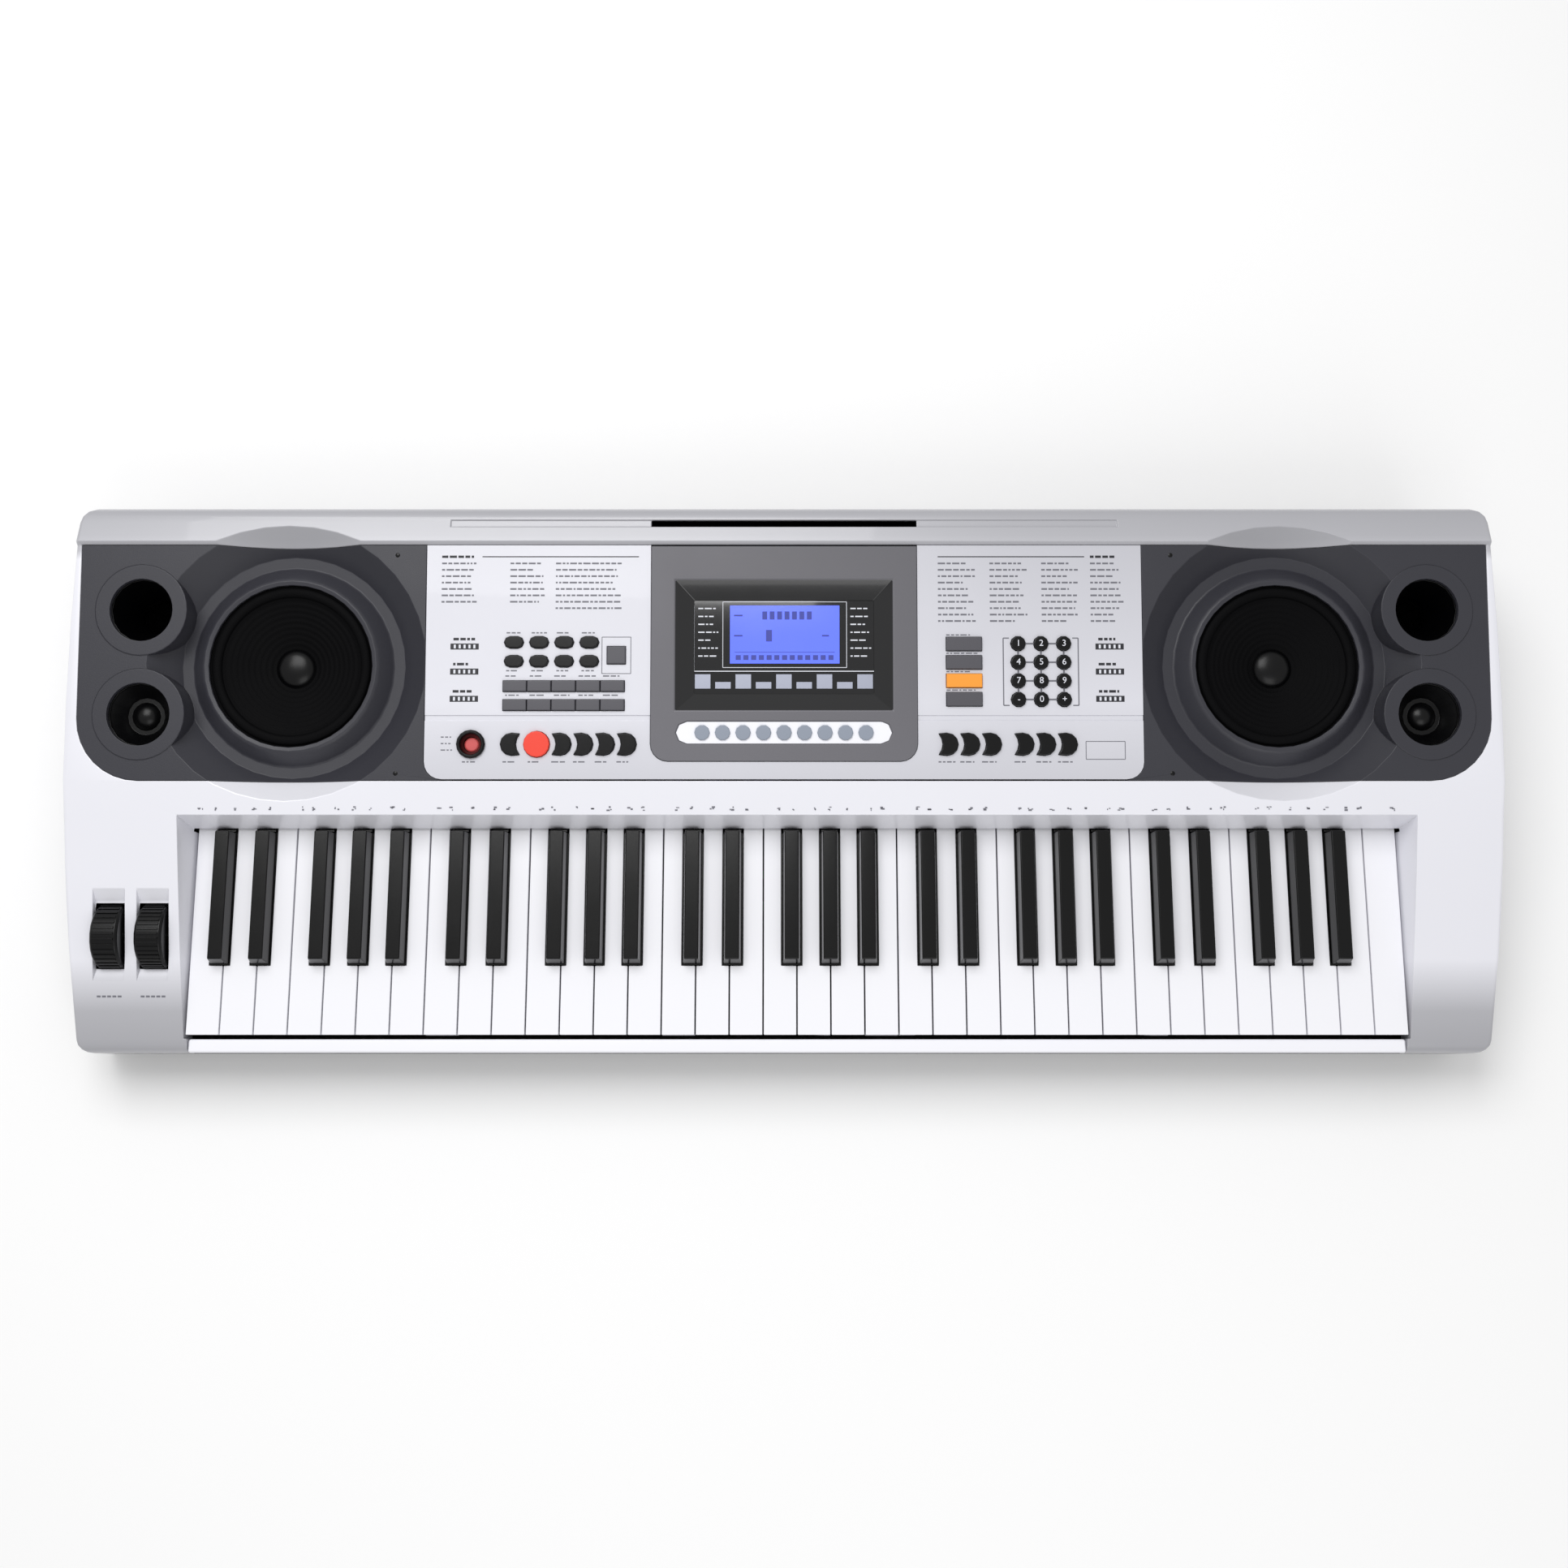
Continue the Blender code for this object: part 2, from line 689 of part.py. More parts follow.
def well_rectangle(z, margin=0.0):
    """(x0, x1, y0, y1) of the key well at height z. Its walls lean outwards above the keys."""
    rise = max(z - KEY_TOP_Z, 0.0)
    side = WELL_SIDE_GAP + WELL_SIDE_DRAFT * rise + margin
    return (KEY_LEFT - side, KEY_RIGHT + side, RAIL_REAR_Y, WELL_REAR_Y + WELL_REAR_DRAFT * rise + margin)


def wheel_slot(name, wheel_x, margin=0.0):
    """The recess round a wheel, with sloped ends, in line with the cheek's top."""
    slope = (top_z(WHEEL_Y + 0.01) - top_z(WHEEL_Y - 0.01)) / 0.02
    half = SLOT_WIDTH / 2 + margin
    above = 0.0060
    lean = (SLOT_LENGTH - SLOT_FLOOR_LENGTH) / 2 / SLOT_DEPTH
    under = SLOT_FLOOR_LENGTH / 2 + margin
    top = SLOT_LENGTH / 2 + lean * above + margin
    obj = tapered_block(name, (-half, half, -under, under), -SLOT_DEPTH - margin / 2,
                        (-half, half, -top, top), above)
    tilt = Matrix.Rotation(slope, 4, "X")
    obj.data.transform(Matrix.Translation((wheel_x, WHEEL_Y, top_z(WHEEL_Y))) @ tilt)
    return obj


def upper_case():
    """Silver top shell, open below, with the well walls, the crescents of the dishes and all openings."""
    shell = case_loft("upper_case", 0.0, PART_LINE_Z)
    cavity = case_loft("cavity", WALL, PART_LINE_Z - 0.01)
    high = 0.1300
    lean_walls = tapered_block("lean_walls", well_rectangle(FALL_BOTTOM_Z, WALL), FALL_BOTTOM_Z,
                               well_rectangle(high, WALL), high)
    x0, x1, _, _ = well_rectangle(0, WALL)
    low_walls = block("low_walls", (x0, FRONT_Y - WALL, 0), (x1, WELL_REAR_Y - 0.001, FALL_BOTTOM_Z + 0.001))
    cut(cavity, lean_walls, low_walls)
    for wheel_x in (PITCH_WHEEL_X, MOD_WHEEL_X):
        cut(cavity, wheel_slot("slot_walls", wheel_x, SLOT_WALL))
    cut(shell, cavity)
    for side in (-1, 1):
        boolean(shell, dish_rim("dish_rim", side), "UNION")

    low_rectangle = well_rectangle(0)
    key_level = KEY_TOP_Z
    well_low = block("well_low", (low_rectangle[0], RAIL_REAR_Y, 0), (low_rectangle[1], WELL_REAR_Y, key_level))
    well_high = tapered_block("well_high", well_rectangle(key_level), key_level, well_rectangle(high), high)
    rail_notch = block("rail_notch", (low_rectangle[0] + RAIL_LIP, FRONT_Y - WALL, 0),
                       (low_rectangle[1] - RAIL_LIP, RAIL_REAR_Y + WALL, high))
    cut(shell, well_low, well_high, rail_notch)

    for wheel_x in (PITCH_WHEEL_X, MOD_WHEEL_X):
        through = 0.004
        cut(shell, wheel_slot("slot", wheel_x))
        floor_z = top_z(WHEEL_Y) - SLOT_DEPTH
        half = SLOT_WIDTH / 2
        length = SLOT_FLOOR_LENGTH / 2 - 0.0005
        cut(shell, block("slot_floor", (wheel_x - half, WHEEL_Y - length, floor_z - 2.5 * through),
                         (wheel_x + half, WHEEL_Y + length, floor_z + through)))

    for side in (-1, 1):
        cut(shell, on_panel(dish_cutter("dish_hollow", side)))
    opening = slab("opening", panel_outline(GAP), -0.0400, 0.0100)
    cut(shell, on_panel(opening))

    slot_half = REST_SLOT_WIDTH / 2
    deep = 0.02
    cut(shell, block("rest_slot", (-REST_SLOT_HALF_WIDTH, REST_SLOT_Y - slot_half, STRIP_REAR_Z - deep),
                     (REST_SLOT_HALF_WIDTH, REST_SLOT_Y + slot_half, high)))
    groove_z = top_z(REST_SLOT_Y) - REST_GROOVE_DEPTH
    cut(shell, block("rest_groove", (-REST_GROOVE_HALF_WIDTH, REST_SLOT_Y - slot_half, groove_z),
                     (REST_GROOVE_HALF_WIDTH, REST_SLOT_Y + slot_half, high)))
    for jack_x in (INLET_X, PHONES_X):
        hole = cylinder("jack_hole", JACK_RADIUS + GAP, -0.01, 0.01, sides=SMALL_SIDES)
        hole.matrix_world = Matrix.Translation((jack_x, REAR_Y, JACK_Z)) @ Matrix.Rotation(pi / 2, 4, "X")
        cut(shell, hole)
    return finished(tidied(shell), SILVER)


def base_loft(name, rows, high_z):
    """Outlines of the case, each (height, inset), joined from the lowest to the highest."""
    bm = bmesh.new()
    rings = []
    for z, inset in rows + [(high_z, rows[-1][1])]:
        right = [(w, y) for y, w in stations(inset)]
        left = [(-w, y) for w, y in reversed(right)]
        rings.append([bm.verts.new((x, y, z)) for x, y in right + left])
    count = len(rings[0])
    for first, second in zip(rings, rings[1:]):
        for i in range(count):
            j = (i + 1) % count
            bm.faces.new((first[i], first[j], second[j], second[i]))
    bm.faces.new(rings[0])
    bm.faces.new(rings[-1])
    bmesh.ops.recalc_face_normals(bm, faces=bm.faces)
    return mesh_object(name, bm)


def bay_rectangle(margin=0.0):
    return (-BAY_HALF_WIDTH - margin, BAY_HALF_WIDTH + margin, BAY_FRONT_Y - margin, BAY_REAR_Y + margin)


def box_over(name, rectangle, low, high):
    x0, x1, y0, y1 = rectangle
    return block(name, (x0, y0, low), (x1, y1, high))


def standoff_places():
    inset = 0.0060
    return [(x, y) for x in (MAIN_BOARD_LEFT + inset, MAIN_BOARD_RIGHT - inset)
            for y in (MAIN_BOARD_FRONT + inset, MAIN_BOARD_REAR - inset)]


def lower_case():
    """Dark tray with the battery bay and the main board's standoffs."""
    skirt = 0.0030
    outer = [(FOOT_HEIGHT, BASE_INSET), (FOOT_HEIGHT + skirt, skirt), (FOOT_HEIGHT + BASE_RISE, 0.0)]
    inner = [(FLOOR_Z, BASE_INSET), (FLOOR_Z + BASE_RISE, WALL)]
    tray = base_loft("lower_case", outer, PART_LINE_Z - GAP)
    cut(tray, base_loft("hollow", inner, PART_LINE_Z + 0.01))
    pieces = [tray, box_over("bay", bay_rectangle(WALL), FLOOR_Z - 0.001, FLOOR_Z + BAY_HEIGHT - FLOOR)]
    for x, y in standoff_places():
        pieces.append(cylinder("standoff", BOSS_RADIUS, FLOOR_Z - 0.001, FLOOR_Z + STANDOFF - GAP, (x, y), 10))
    tray = fuse("lower_case", pieces)
    cut(tray, box_over("bay_space", bay_rectangle(), FOOT_HEIGHT - 0.01, FLOOR_Z + BAY_HEIGHT - 2 * FLOOR))
    return finished(tidied(tray), CHARCOAL)


def battery_door():
    door = box_over("battery_door", bay_rectangle(-GAP), FOOT_HEIGHT + GAP, FLOOR_Z)
    return finished(door, CHARCOAL)


def feet():
    places = {
        "foot_front_left": (-FOOT_X, FOOT_FRONT_Y), "foot_front_right": (FOOT_X, FOOT_FRONT_Y),
        "foot_rear_left": (-FOOT_X, FOOT_REAR_Y), "foot_rear_right": (FOOT_X, FOOT_REAR_Y),
    }
    round_edge = 0.0010
    top = FOOT_HEIGHT - GAP
    for name, place in places.items():
        profile = [(0, top), (FOOT_RADIUS, top), (FOOT_RADIUS, round_edge), (FOOT_RADIUS - round_edge, 0), (0, 0)]
        finished(turned(name, profile, 16, place), RUBBER)


def front_rail():
    x0, x1, _, _ = well_rectangle(0)
    rail = block("front_rail", (x0 + RAIL_LIP + GAP, FRONT_Y + GAP, PART_LINE_Z),
                 (x1 - RAIL_LIP - GAP, RAIL_REAR_Y - GAP, RAIL_TOP_Z))
    bevel = rail.modifiers.new("bevel", "BEVEL")
    bevel.width = 0.0015
    bevel.segments = 2
    return finished(rail, WHITE)


# Keys


def pivot_y(rank):
    """Y of the pivot bar: 0 for the sharps, 1 for D F A, 2 for C E G B."""
    return PIVOT_FIRST_Y + PIVOT_STEP * rank


def tail_span(index):
    """(left, right) of a natural behind the notches, measured from the octave's left edge."""
    left = index * NATURAL_PITCH + KEY_GAP / 2
    right = (index + 1) * NATURAL_PITCH - KEY_GAP / 2
    for centre in SHARP_CENTRES:
        if left < centre - SHARP_SLOT / 2 < right:
            right = centre - SHARP_SLOT / 2
        if left < centre + SHARP_SLOT / 2 < right:
            left = centre + SHARP_SLOT / 2
    return left, right


def natural_pieces(octave_left, index, rank, last=False):
    """One white key: its notched body, its front lip and the drop to its pivot bar."""
    left = octave_left + index * NATURAL_PITCH + KEY_GAP / 2
    right = octave_left + (index + 1) * NATURAL_PITCH - KEY_GAP / 2
    tail_left, tail_right = (octave_left + x for x in tail_span(index))
    if last:
        tail_right = right
    notch_y = SHARP_FRONT_Y - KEY_GAP
    end_y = pivot_y(rank) + PIVOT_RADIUS
    outline = [(left, KEY_FRONT_Y), (right, KEY_FRONT_Y)]
    if tail_right < right:
        outline += [(right, notch_y), (tail_right, notch_y)]
    outline += [(tail_right, end_y), (tail_left, end_y)]
    if tail_left > left:
        outline += [(tail_left, notch_y), (left, notch_y)]
    body = slab("natural", outline, KEY_UNDER_Z, KEY_TOP_Z)
    lip = block("lip", (left + 0.0003, KEY_FRONT_Y + 0.0002, KEY_UNDER_Z - KEY_LIP_DROP),
                (right - 0.0003, KEY_FRONT_Y + KEY_LIP, KEY_UNDER_Z + 0.002))
    drop = block("drop", (tail_left + 0.0005, pivot_y(rank) - PIVOT_RADIUS + 0.0002, PIVOT_Z),
                 (tail_right - 0.0005, end_y - 0.0002, KEY_UNDER_Z + 0.001))
    return [body, lip, drop]


def sharp_pieces(octave_left, centre):
    """One black key: its sloped top and the tail that runs back to its pivot bar."""
    x = octave_left + centre
    base = SHARP_WIDTH / 2
    crown = SHARP_TOP_WIDTH / 2
    tail = SHARP_TAIL / 2
    top = tapered_block("sharp", (x - base, x + base, SHARP_FRONT_Y, SHARP_REAR_Y), KEY_TOP_Z,
                        (x - crown, x + crown, SHARP_FRONT_Y + SHARP_FRONT_SLOPE, SHARP_REAR_Y),
                        KEY_TOP_Z + SHARP_HEIGHT)
    end_y = pivot_y(0) + PIVOT_RADIUS
    stem = block("stem", (x - tail, SHARP_FRONT_Y + 0.0003, KEY_UNDER_Z), (x + tail, end_y, KEY_TOP_Z + 0.0005))
    drop = block("drop", (x - tail + 0.0005, pivot_y(0) - PIVOT_RADIUS + 0.0002, PIVOT_Z),
                 (x + tail - 0.0005, end_y - 0.0002, KEY_UNDER_Z + 0.001))
    return [top, stem, drop]


def key_set(name, pieces, rank, left, right, mat):
    bar = cylinder("bar", PIVOT_RADIUS, left, right, (pivot_y(rank), PIVOT_Z), 10, "X")
    obj = tidied(fuse(name, pieces + [bar]))
    return finished(obj, mat, ((left + right) / 2, pivot_y(rank), PIVOT_Z))


def keys():
    """Per octave: C E G B on the rear bar, D F A on the middle bar and the sharps on the front bar."""
    sets = (("ceg", (0, 2, 4, 6), 2), ("dfa", (1, 3, 5), 1))
    for octave in range(OCTAVES):
        left = KEY_LEFT + octave * OCTAVE
        for letters, indices, rank in sets:
            pieces = []
            for index in indices:
                pieces += natural_pieces(left, index, rank)
            name = "naturals_%s_%d" % ("cegb" if rank == 2 else letters, octave + 1)
            key_set(name, pieces, rank, left + indices[0] * NATURAL_PITCH + KEY_GAP,
                    left + (indices[-1] + 1) * NATURAL_PITCH - KEY_GAP, NATURAL)
        pieces = []
        for centre in SHARP_CENTRES:
            pieces += sharp_pieces(left, centre)
        reach = SHARP_TAIL / 2
        key_set("sharps_%d" % (octave + 1), pieces, 0, left + SHARP_CENTRES[0] - reach,
                left + SHARP_CENTRES[-1] + reach, BLACK)
    left = KEY_LEFT + OCTAVES * OCTAVE
    key_set("natural_top_c", natural_pieces(left, 0, 2, last=True), 2, left + KEY_GAP,
            left + NATURAL_PITCH - KEY_GAP, NATURAL)


def chassis_span(margin=0.0):
    return KEY_LEFT + KEY_GAP / 2 - margin, KEY_RIGHT - KEY_GAP / 2 + margin


def key_chassis():
    """Moulded frame under the keys: key stop, board ribs and three saddles that the pivot bars lie in."""
    under = FLOOR_Z + GAP
    deck = under + CHASSIS_PLATE
    rib_top = BOARD_UNDER_Z - GAP
    rib = 0.0040
    groove = PIVOT_RADIUS + GAP
    saddle_top = PIVOT_Z - 0.0005
    points = [(CHASSIS_FRONT_Y, under), (CHASSIS_FRONT_Y, deck)]
    ribs = [(STOP_Y, STOP_WIDTH, STOP_TOP_Z), (BOARD_FRONT_Y + rib, rib, rib_top),
            (BOARD_REAR_Y - rib, rib, rib_top)]
    for middle, width, top in ribs:
        points += [(middle - width / 2, deck), (middle - width / 2, top),
                   (middle + width / 2, top), (middle + width / 2, deck)]
    for rank in range(3):
        middle = pivot_y(rank)
        points += [(middle - SADDLE_WIDTH / 2, deck), (middle - SADDLE_WIDTH / 2, saddle_top)]
        points += arc(middle, PIVOT_Z, groove, 191, 349, 6)
        points += [(middle + SADDLE_WIDTH / 2, saddle_top), (middle + SADDLE_WIDTH / 2, deck)]
    points += [(CHASSIS_REAR_Y, deck), (CHASSIS_REAR_Y, under)]
    left, right = chassis_span()
    return finished(slab("key_chassis", points, left, right, "X"), CHARCOAL)


def contact_board():
    left, right = chassis_span()
    top = BOARD_UNDER_Z + BOARD_THICKNESS
    finished(block("contact_board", (left, BOARD_FRONT_Y, BOARD_UNDER_Z), (right, BOARD_REAR_Y, top)), BOARD)
    strip = block("contact_strip", (left, BOARD_FRONT_Y + STRIP_MARGIN, top + GAP),
                  (right, BOARD_REAR_Y - STRIP_MARGIN, top + GAP + STRIP_HEIGHT))
    finished(strip, RUBBER)


# Speakers


def baffles():
    """Moulded speaker panels: a flat plate, the woofer dish and two round towers beside it."""
    side = -1
    name = "left_baffle"
    half = PANEL_HALF_WIDTH
    inner = CONTROL_HALF_WIDTH + CONTROL_MARGIN - CONTROL_CORNER
    outline = [(side * inner, PANEL_DEPTH), (side * half, PANEL_DEPTH)]
    radius = PANEL_CORNER
    corner = arc(half - radius, radius, radius, 0, -90, 8)
    outline += [(side * x, v) for x, v in corner]
    outline += [(side * inner, 0.0)]
    rough = 0.0100
    plate = block(name, (-half - rough, -rough, -PLATE), (-inner + rough, PANEL_DEPTH + rough, 0))
    body = fuse(name, [plate, dish_body("bowl", side)])
    keep(body, slab("limit", outline, -0.0600, 0.0200))
    cut(body, dish_cutter("hollow", side))
    towers = [body]
    for v in (PORT_V, TWEETER_V):
        tower = cylinder("tower", TOWER_RADIUS, -TOWER_DEPTH, TOWER_RISE, (side * SIDE_X, v), DISH_SIDES)
        towers.append(soften_top(tower, TOWER_RISE / 2))
    body = fuse(name, towers)
    for v in (PORT_V, TWEETER_V):
        inside = TOWER_RADIUS - TOWER_WALL
        cut(body, cylinder("inside", inside, -0.0600, -PLATE, (side * SIDE_X, v), DISH_SIDES),
            cylinder("mouth", MOUTH_RADIUS, -0.0300, 0.0100, (side * SIDE_X, v), DISH_SIDES))
    cut(body, slab("panel_clearance", control_outline(GAP), -0.0600, 0.0200))
    tidied(body)
    finished(mirrored(body, "right_baffle"), GRAPHITE, parent=PANEL)
    finished(body, GRAPHITE, parent=PANEL)


def woofer(name, side):
    """Driver behind the baffle: cone, dust cap, surround, basket and magnet in one turned shape."""
    seat = -LIP_DEPTH - GAP
    flange = CONE_RADIUS + 0.0020
    profile = [
        (0, -CAP_DEPTH), (CAP_RADIUS * 0.5, -CAP_DEPTH - 0.0008), (CAP_RADIUS * 0.85, -CAP_DEPTH - 0.0030),
        (CAP_RADIUS, -CAP_DEPTH - 0.0055), (CONE_RADIUS - 0.0060, seat - 0.0006),
        (CONE_RADIUS - 0.0040, seat + 0.0014), (CONE_RADIUS - 0.0018, seat + 0.0014),
        (CONE_RADIUS - 0.0004, seat), (flange, seat), (flange, seat - 0.0025),
        (flange - 0.0050, seat - 0.0030), (MAGNET_RADIUS + 0.0030, -WOOFER_LENGTH + 0.0150),
        (MAGNET_RADIUS, -WOOFER_LENGTH + 0.0140), (MAGNET_RADIUS, -WOOFER_LENGTH), (0, -WOOFER_LENGTH),
    ]
    obj = turned(name, profile, WOOFER_SIDES, (side * WOOFER_X, WOOFER_V))
    return finished(obj, PAPER, parent=PANEL)


def tweeter(name, side):
    seat = -PLATE - GAP
    body = MOUTH_RADIUS - 0.0030
    profile = [
        (0, -0.0095), (DOME_RADIUS * 0.5, -0.0102), (DOME_RADIUS * 0.85, -0.0125), (DOME_RADIUS, -0.0150),
        (DOME_RADIUS + 0.0030, -0.0150), (MOUTH_RADIUS - 0.0010, seat - 0.0015), (MOUTH_RADIUS - 0.0003, seat),
        (FLANGE_RADIUS, seat), (FLANGE_RADIUS, seat - 0.0022), (body, seat - 0.0060),
        (body, -TWEETER_LENGTH), (0, -TWEETER_LENGTH),
    ]
    obj = turned(name, profile, SMALL_SIDES, (side * SIDE_X, TWEETER_V))
    return finished(obj, BLACK, parent=PANEL)


def port_tube(name, side):
    seat = -PLATE - GAP
    wall = 0.0018
    end = -PORT_LENGTH - 0.0060
    loop = [
        (MOUTH_RADIUS - 0.0002, seat), (PORT_END_RADIUS, -PORT_LENGTH), (PORT_END_RADIUS, end),
        (PORT_END_RADIUS + wall, end), (PORT_END_RADIUS + wall, -PORT_LENGTH),
        (MOUTH_RADIUS + 0.0010, seat - 0.0040), (FLANGE_RADIUS, seat - 0.0022), (FLANGE_RADIUS, seat),
    ]
    obj = turned(name, loop, SMALL_SIDES, (side * SIDE_X, PORT_V), ring=True)
    return finished(obj, BLACK, parent=PANEL)


# Control panel and display


def control_outline(margin=0.0):
    half = CONTROL_HALF_WIDTH + margin
    radius = CONTROL_CORNER + margin
    front = CONTROL_MARGIN - margin
    rear = PANEL_DEPTH + margin * 10
    points = [(half, rear), (-half, rear)]
    points += arc(-half + radius, front + radius, radius, 180, 270, 5)
    points += arc(half - radius, front + radius, radius, 270, 360, 5)
    return points


def bezel_outline(margin=0.0):
    half = BEZEL_HALF_WIDTH + margin
    radius = CONTROL_CORNER + margin
    front = BEZEL_FRONT_V - margin
    rear = PANEL_DEPTH - CONTROL_MARGIN + margin * 20
    points = [(half, rear), (-half, rear)]
    points += arc(-half + radius, front + radius, radius, 180, 270, 5)
    points += arc(half - radius, front + radius, radius, 270, 360, 5)
    return points


def stadium(x, v, length, width, margin=0.0):
    radius = width / 2 + margin
    offset = length / 2 - width / 2
    return arc(x + offset, v, radius, -90, 90, 4) + arc(x - offset, v, radius, 90, 270, 4)


def rectangle_outline(x, v, length, width, margin=0.0):
    half, tall = length / 2 + margin, width / 2 + margin
    return [(x - half, v - tall), (x + half, v - tall), (x + half, v + tall), (x - half, v + tall)]


def circle(x, v, radius, margin=0.0, sides=CAP_SIDES):
    return arc(x, v, radius + margin, 0, 360 - 360 / sides, sides - 1)


def crescent(x, v, facing=1, margin=0.0):
    """A round cap with a hollow bitten out of the side that faces its neighbour."""
    right = arc(0, 0, CRESCENT_RADIUS + margin, -90, 90, 6)
    horn = -CRESCENT_HORN - margin
    tall = CRESCENT_RADIUS * 0.92 + margin
    steps = 4
    hollow = []
    for i in range(steps + 1):
        share = 1 - 2 * i / steps
        hollow.append((horn + CRESCENT_BITE * (1 - share ** 2), tall * share))
    points = [(facing * a, b) for a, b in right + hollow]
    if facing < 0:
        points.reverse()
    return [(x + a, v + b) for a, b in points]


def oval_places():
    return [(OVAL_X + i * OVAL_PITCH_X, OVAL_V + j * OVAL_PITCH_V) for j in range(2) for i in range(4)]


def bar_places():
    return [(BAR_X + i * BAR_PITCH_X, BAR_V + j * BAR_PITCH_V) for j in range(2) for i in range(5)]


def left_crescents(margin=0.0):
    outlines = [crescent(INTRO_X, LOWER_ROW_V, -1, margin)]
    return outlines + [crescent(LEFT_CRESCENT_X + i * CRESCENT_PITCH, LOWER_ROW_V, 1, margin) for i in range(4)]


def right_crescents(margin=0.0):
    starts = (RIGHT_CRESCENT_X, SECOND_CRESCENT_X)
    return [crescent(x + i * CRESCENT_PITCH, LOWER_ROW_V, 1, margin) for x in starts for i in range(3)]


def keypad_places():
    return [(KEYPAD_X + i * KEYPAD_PITCH_X, KEYPAD_V + j * KEYPAD_PITCH_V) for j in range(4) for i in range(3)]


def function_outline(row, margin=0.0):
    return rectangle_outline(FUNCTION_X, FUNCTION_V + row * FUNCTION_PITCH, FUNCTION_LENGTH, FUNCTION_WIDTH, margin)


def button_holes():
    """Outlines of the holes in the control panel."""
    clear = BUTTON_CLEARANCE
    holes = [stadium(x, v, OVAL_LENGTH, OVAL_WIDTH, clear) for x, v in oval_places()]
    row = 4 * BAR_PITCH_X + BAR_LENGTH
    for j in range(2):
        holes.append(rectangle_outline(BAR_X + 2 * BAR_PITCH_X, BAR_V + j * BAR_PITCH_V, row, BAR_WIDTH, clear))
    holes.append(rectangle_outline(ROCKER_X, ROCKER_V, ROCKER_WIDTH, ROCKER_LENGTH, clear))
    holes.append(circle(POWER_X, LOWER_ROW_V, COLLAR_NECK, GAP, SMALL_SIDES))
    holes.append(circle(START_X, LOWER_ROW_V, START_RADIUS, clear, SMALL_SIDES))
    holes += left_crescents(clear) + right_crescents(clear)
    holes += [function_outline(row, clear) for row in range(4)]
    holes += [circle(x, v, KEYPAD_RADIUS, clear) for x, v in keypad_places()]
    return holes


def control_panel():
    panel = slab("control_panel", control_outline(), -PLATE, 0)
    cut(panel, slab("bezel_space", bezel_outline(GAP), -0.0200, 0.0200))
    cut(panel, joined("holes", [slab("hole", hole, -0.0100, 0.0100) for hole in button_holes()]))
    inner, outer = BEZEL_HALF_WIDTH - 0.001, CONTROL_HALF_WIDTH + 0.001
    for side in (-1, 1):
        low, high = sorted((side * inner, side * outer))
        cut(panel, block("groove", (low, GROOVE_V - GROOVE_WIDTH / 2, -GROOVE_DEPTH),
                         (high, GROOVE_V + GROOVE_WIDTH / 2, 0.0100)))
    pieces = [panel]
    side_x = CONTROL_HALF_WIDTH - BOSS_INSET
    for x in (-side_x, side_x):
        for v in (PANEL_BOARD_MARGIN + BOSS_INSET, PANEL_DEPTH - PANEL_BOARD_MARGIN - BOSS_INSET):
            pieces.append(cylinder("boss", BOSS_RADIUS, PANEL_BOARD_H + GAP, -PLATE / 2, (x, v), 10))
    return finished(fuse("control_panel", pieces), SILVER, parent=PANEL)


def window_rectangle(share, margin=0.0):
    """(x0, x1, v0, v1) of the sunk window, share 0 at the rim and 1 at its floor."""
    slope = WINDOW_SLOPE * share - margin
    half = WINDOW_HALF_WIDTH - slope
    return (-half, half, WINDOW_FRONT_V + slope, WINDOW_REAR_V - slope)


def display_places():
    return [(DISPLAY_BUTTON_X + i * DISPLAY_BUTTON_PITCH, PILL_V) for i in range(9)]


def display_bezel():
    """Grey frame with a sunk window and the shallow pill that its row of buttons stands in."""
    frame = slab("display_bezel", bezel_outline(), -PLATE, BEZEL_RISE)
    walls = tapered_block("walls", window_rectangle(1, WINDOW_WALL), -WINDOW_DEPTH,
                          window_rectangle(0, WINDOW_WALL), -PLATE / 2)
    frame = fuse("display_bezel", [frame, walls])
    over = 1.2
    reach = WINDOW_DEPTH + BEZEL_RISE
    cut(frame, tapered_block("window", window_rectangle(over), BEZEL_RISE - reach * over,
                             window_rectangle(1 - over), BEZEL_RISE + reach * (over - 1)))
    cut(frame, slab("pill", stadium(0, PILL_V, 2 * PILL_HALF_WIDTH, 2 * PILL_HALF_HEIGHT),
                    BEZEL_RISE - PILL_DEPTH, 0.0100))
    holes = [circle(x, v, DISPLAY_BUTTON_RADIUS, BUTTON_CLEARANCE) for x, v in display_places()]
    cut(frame, joined("holes", [slab("hole", hole, -0.0100, 0.0100) for hole in holes]))
    return finished(tidied(frame), GREY, parent=PANEL)


def display():
    """Dark lens against the window's walls, and the liquid crystal module behind it."""
    x0, x1, v0, v1 = window_rectangle(1, LENS_LAP)
    top = -WINDOW_DEPTH - GAP
    finished(block("display_lens", (x0, v0, top - LENS), (x1, v1, top)), SMOKED, parent=PANEL)
    top -= LENS + GAP
    module = block("lcd_module", (-LCD_HALF_WIDTH, LCD_FRONT_V, top - LCD_DEPTH), (LCD_HALF_WIDTH, LCD_REAR_V, top))
    finished(module, LIQUID, parent=PANEL)


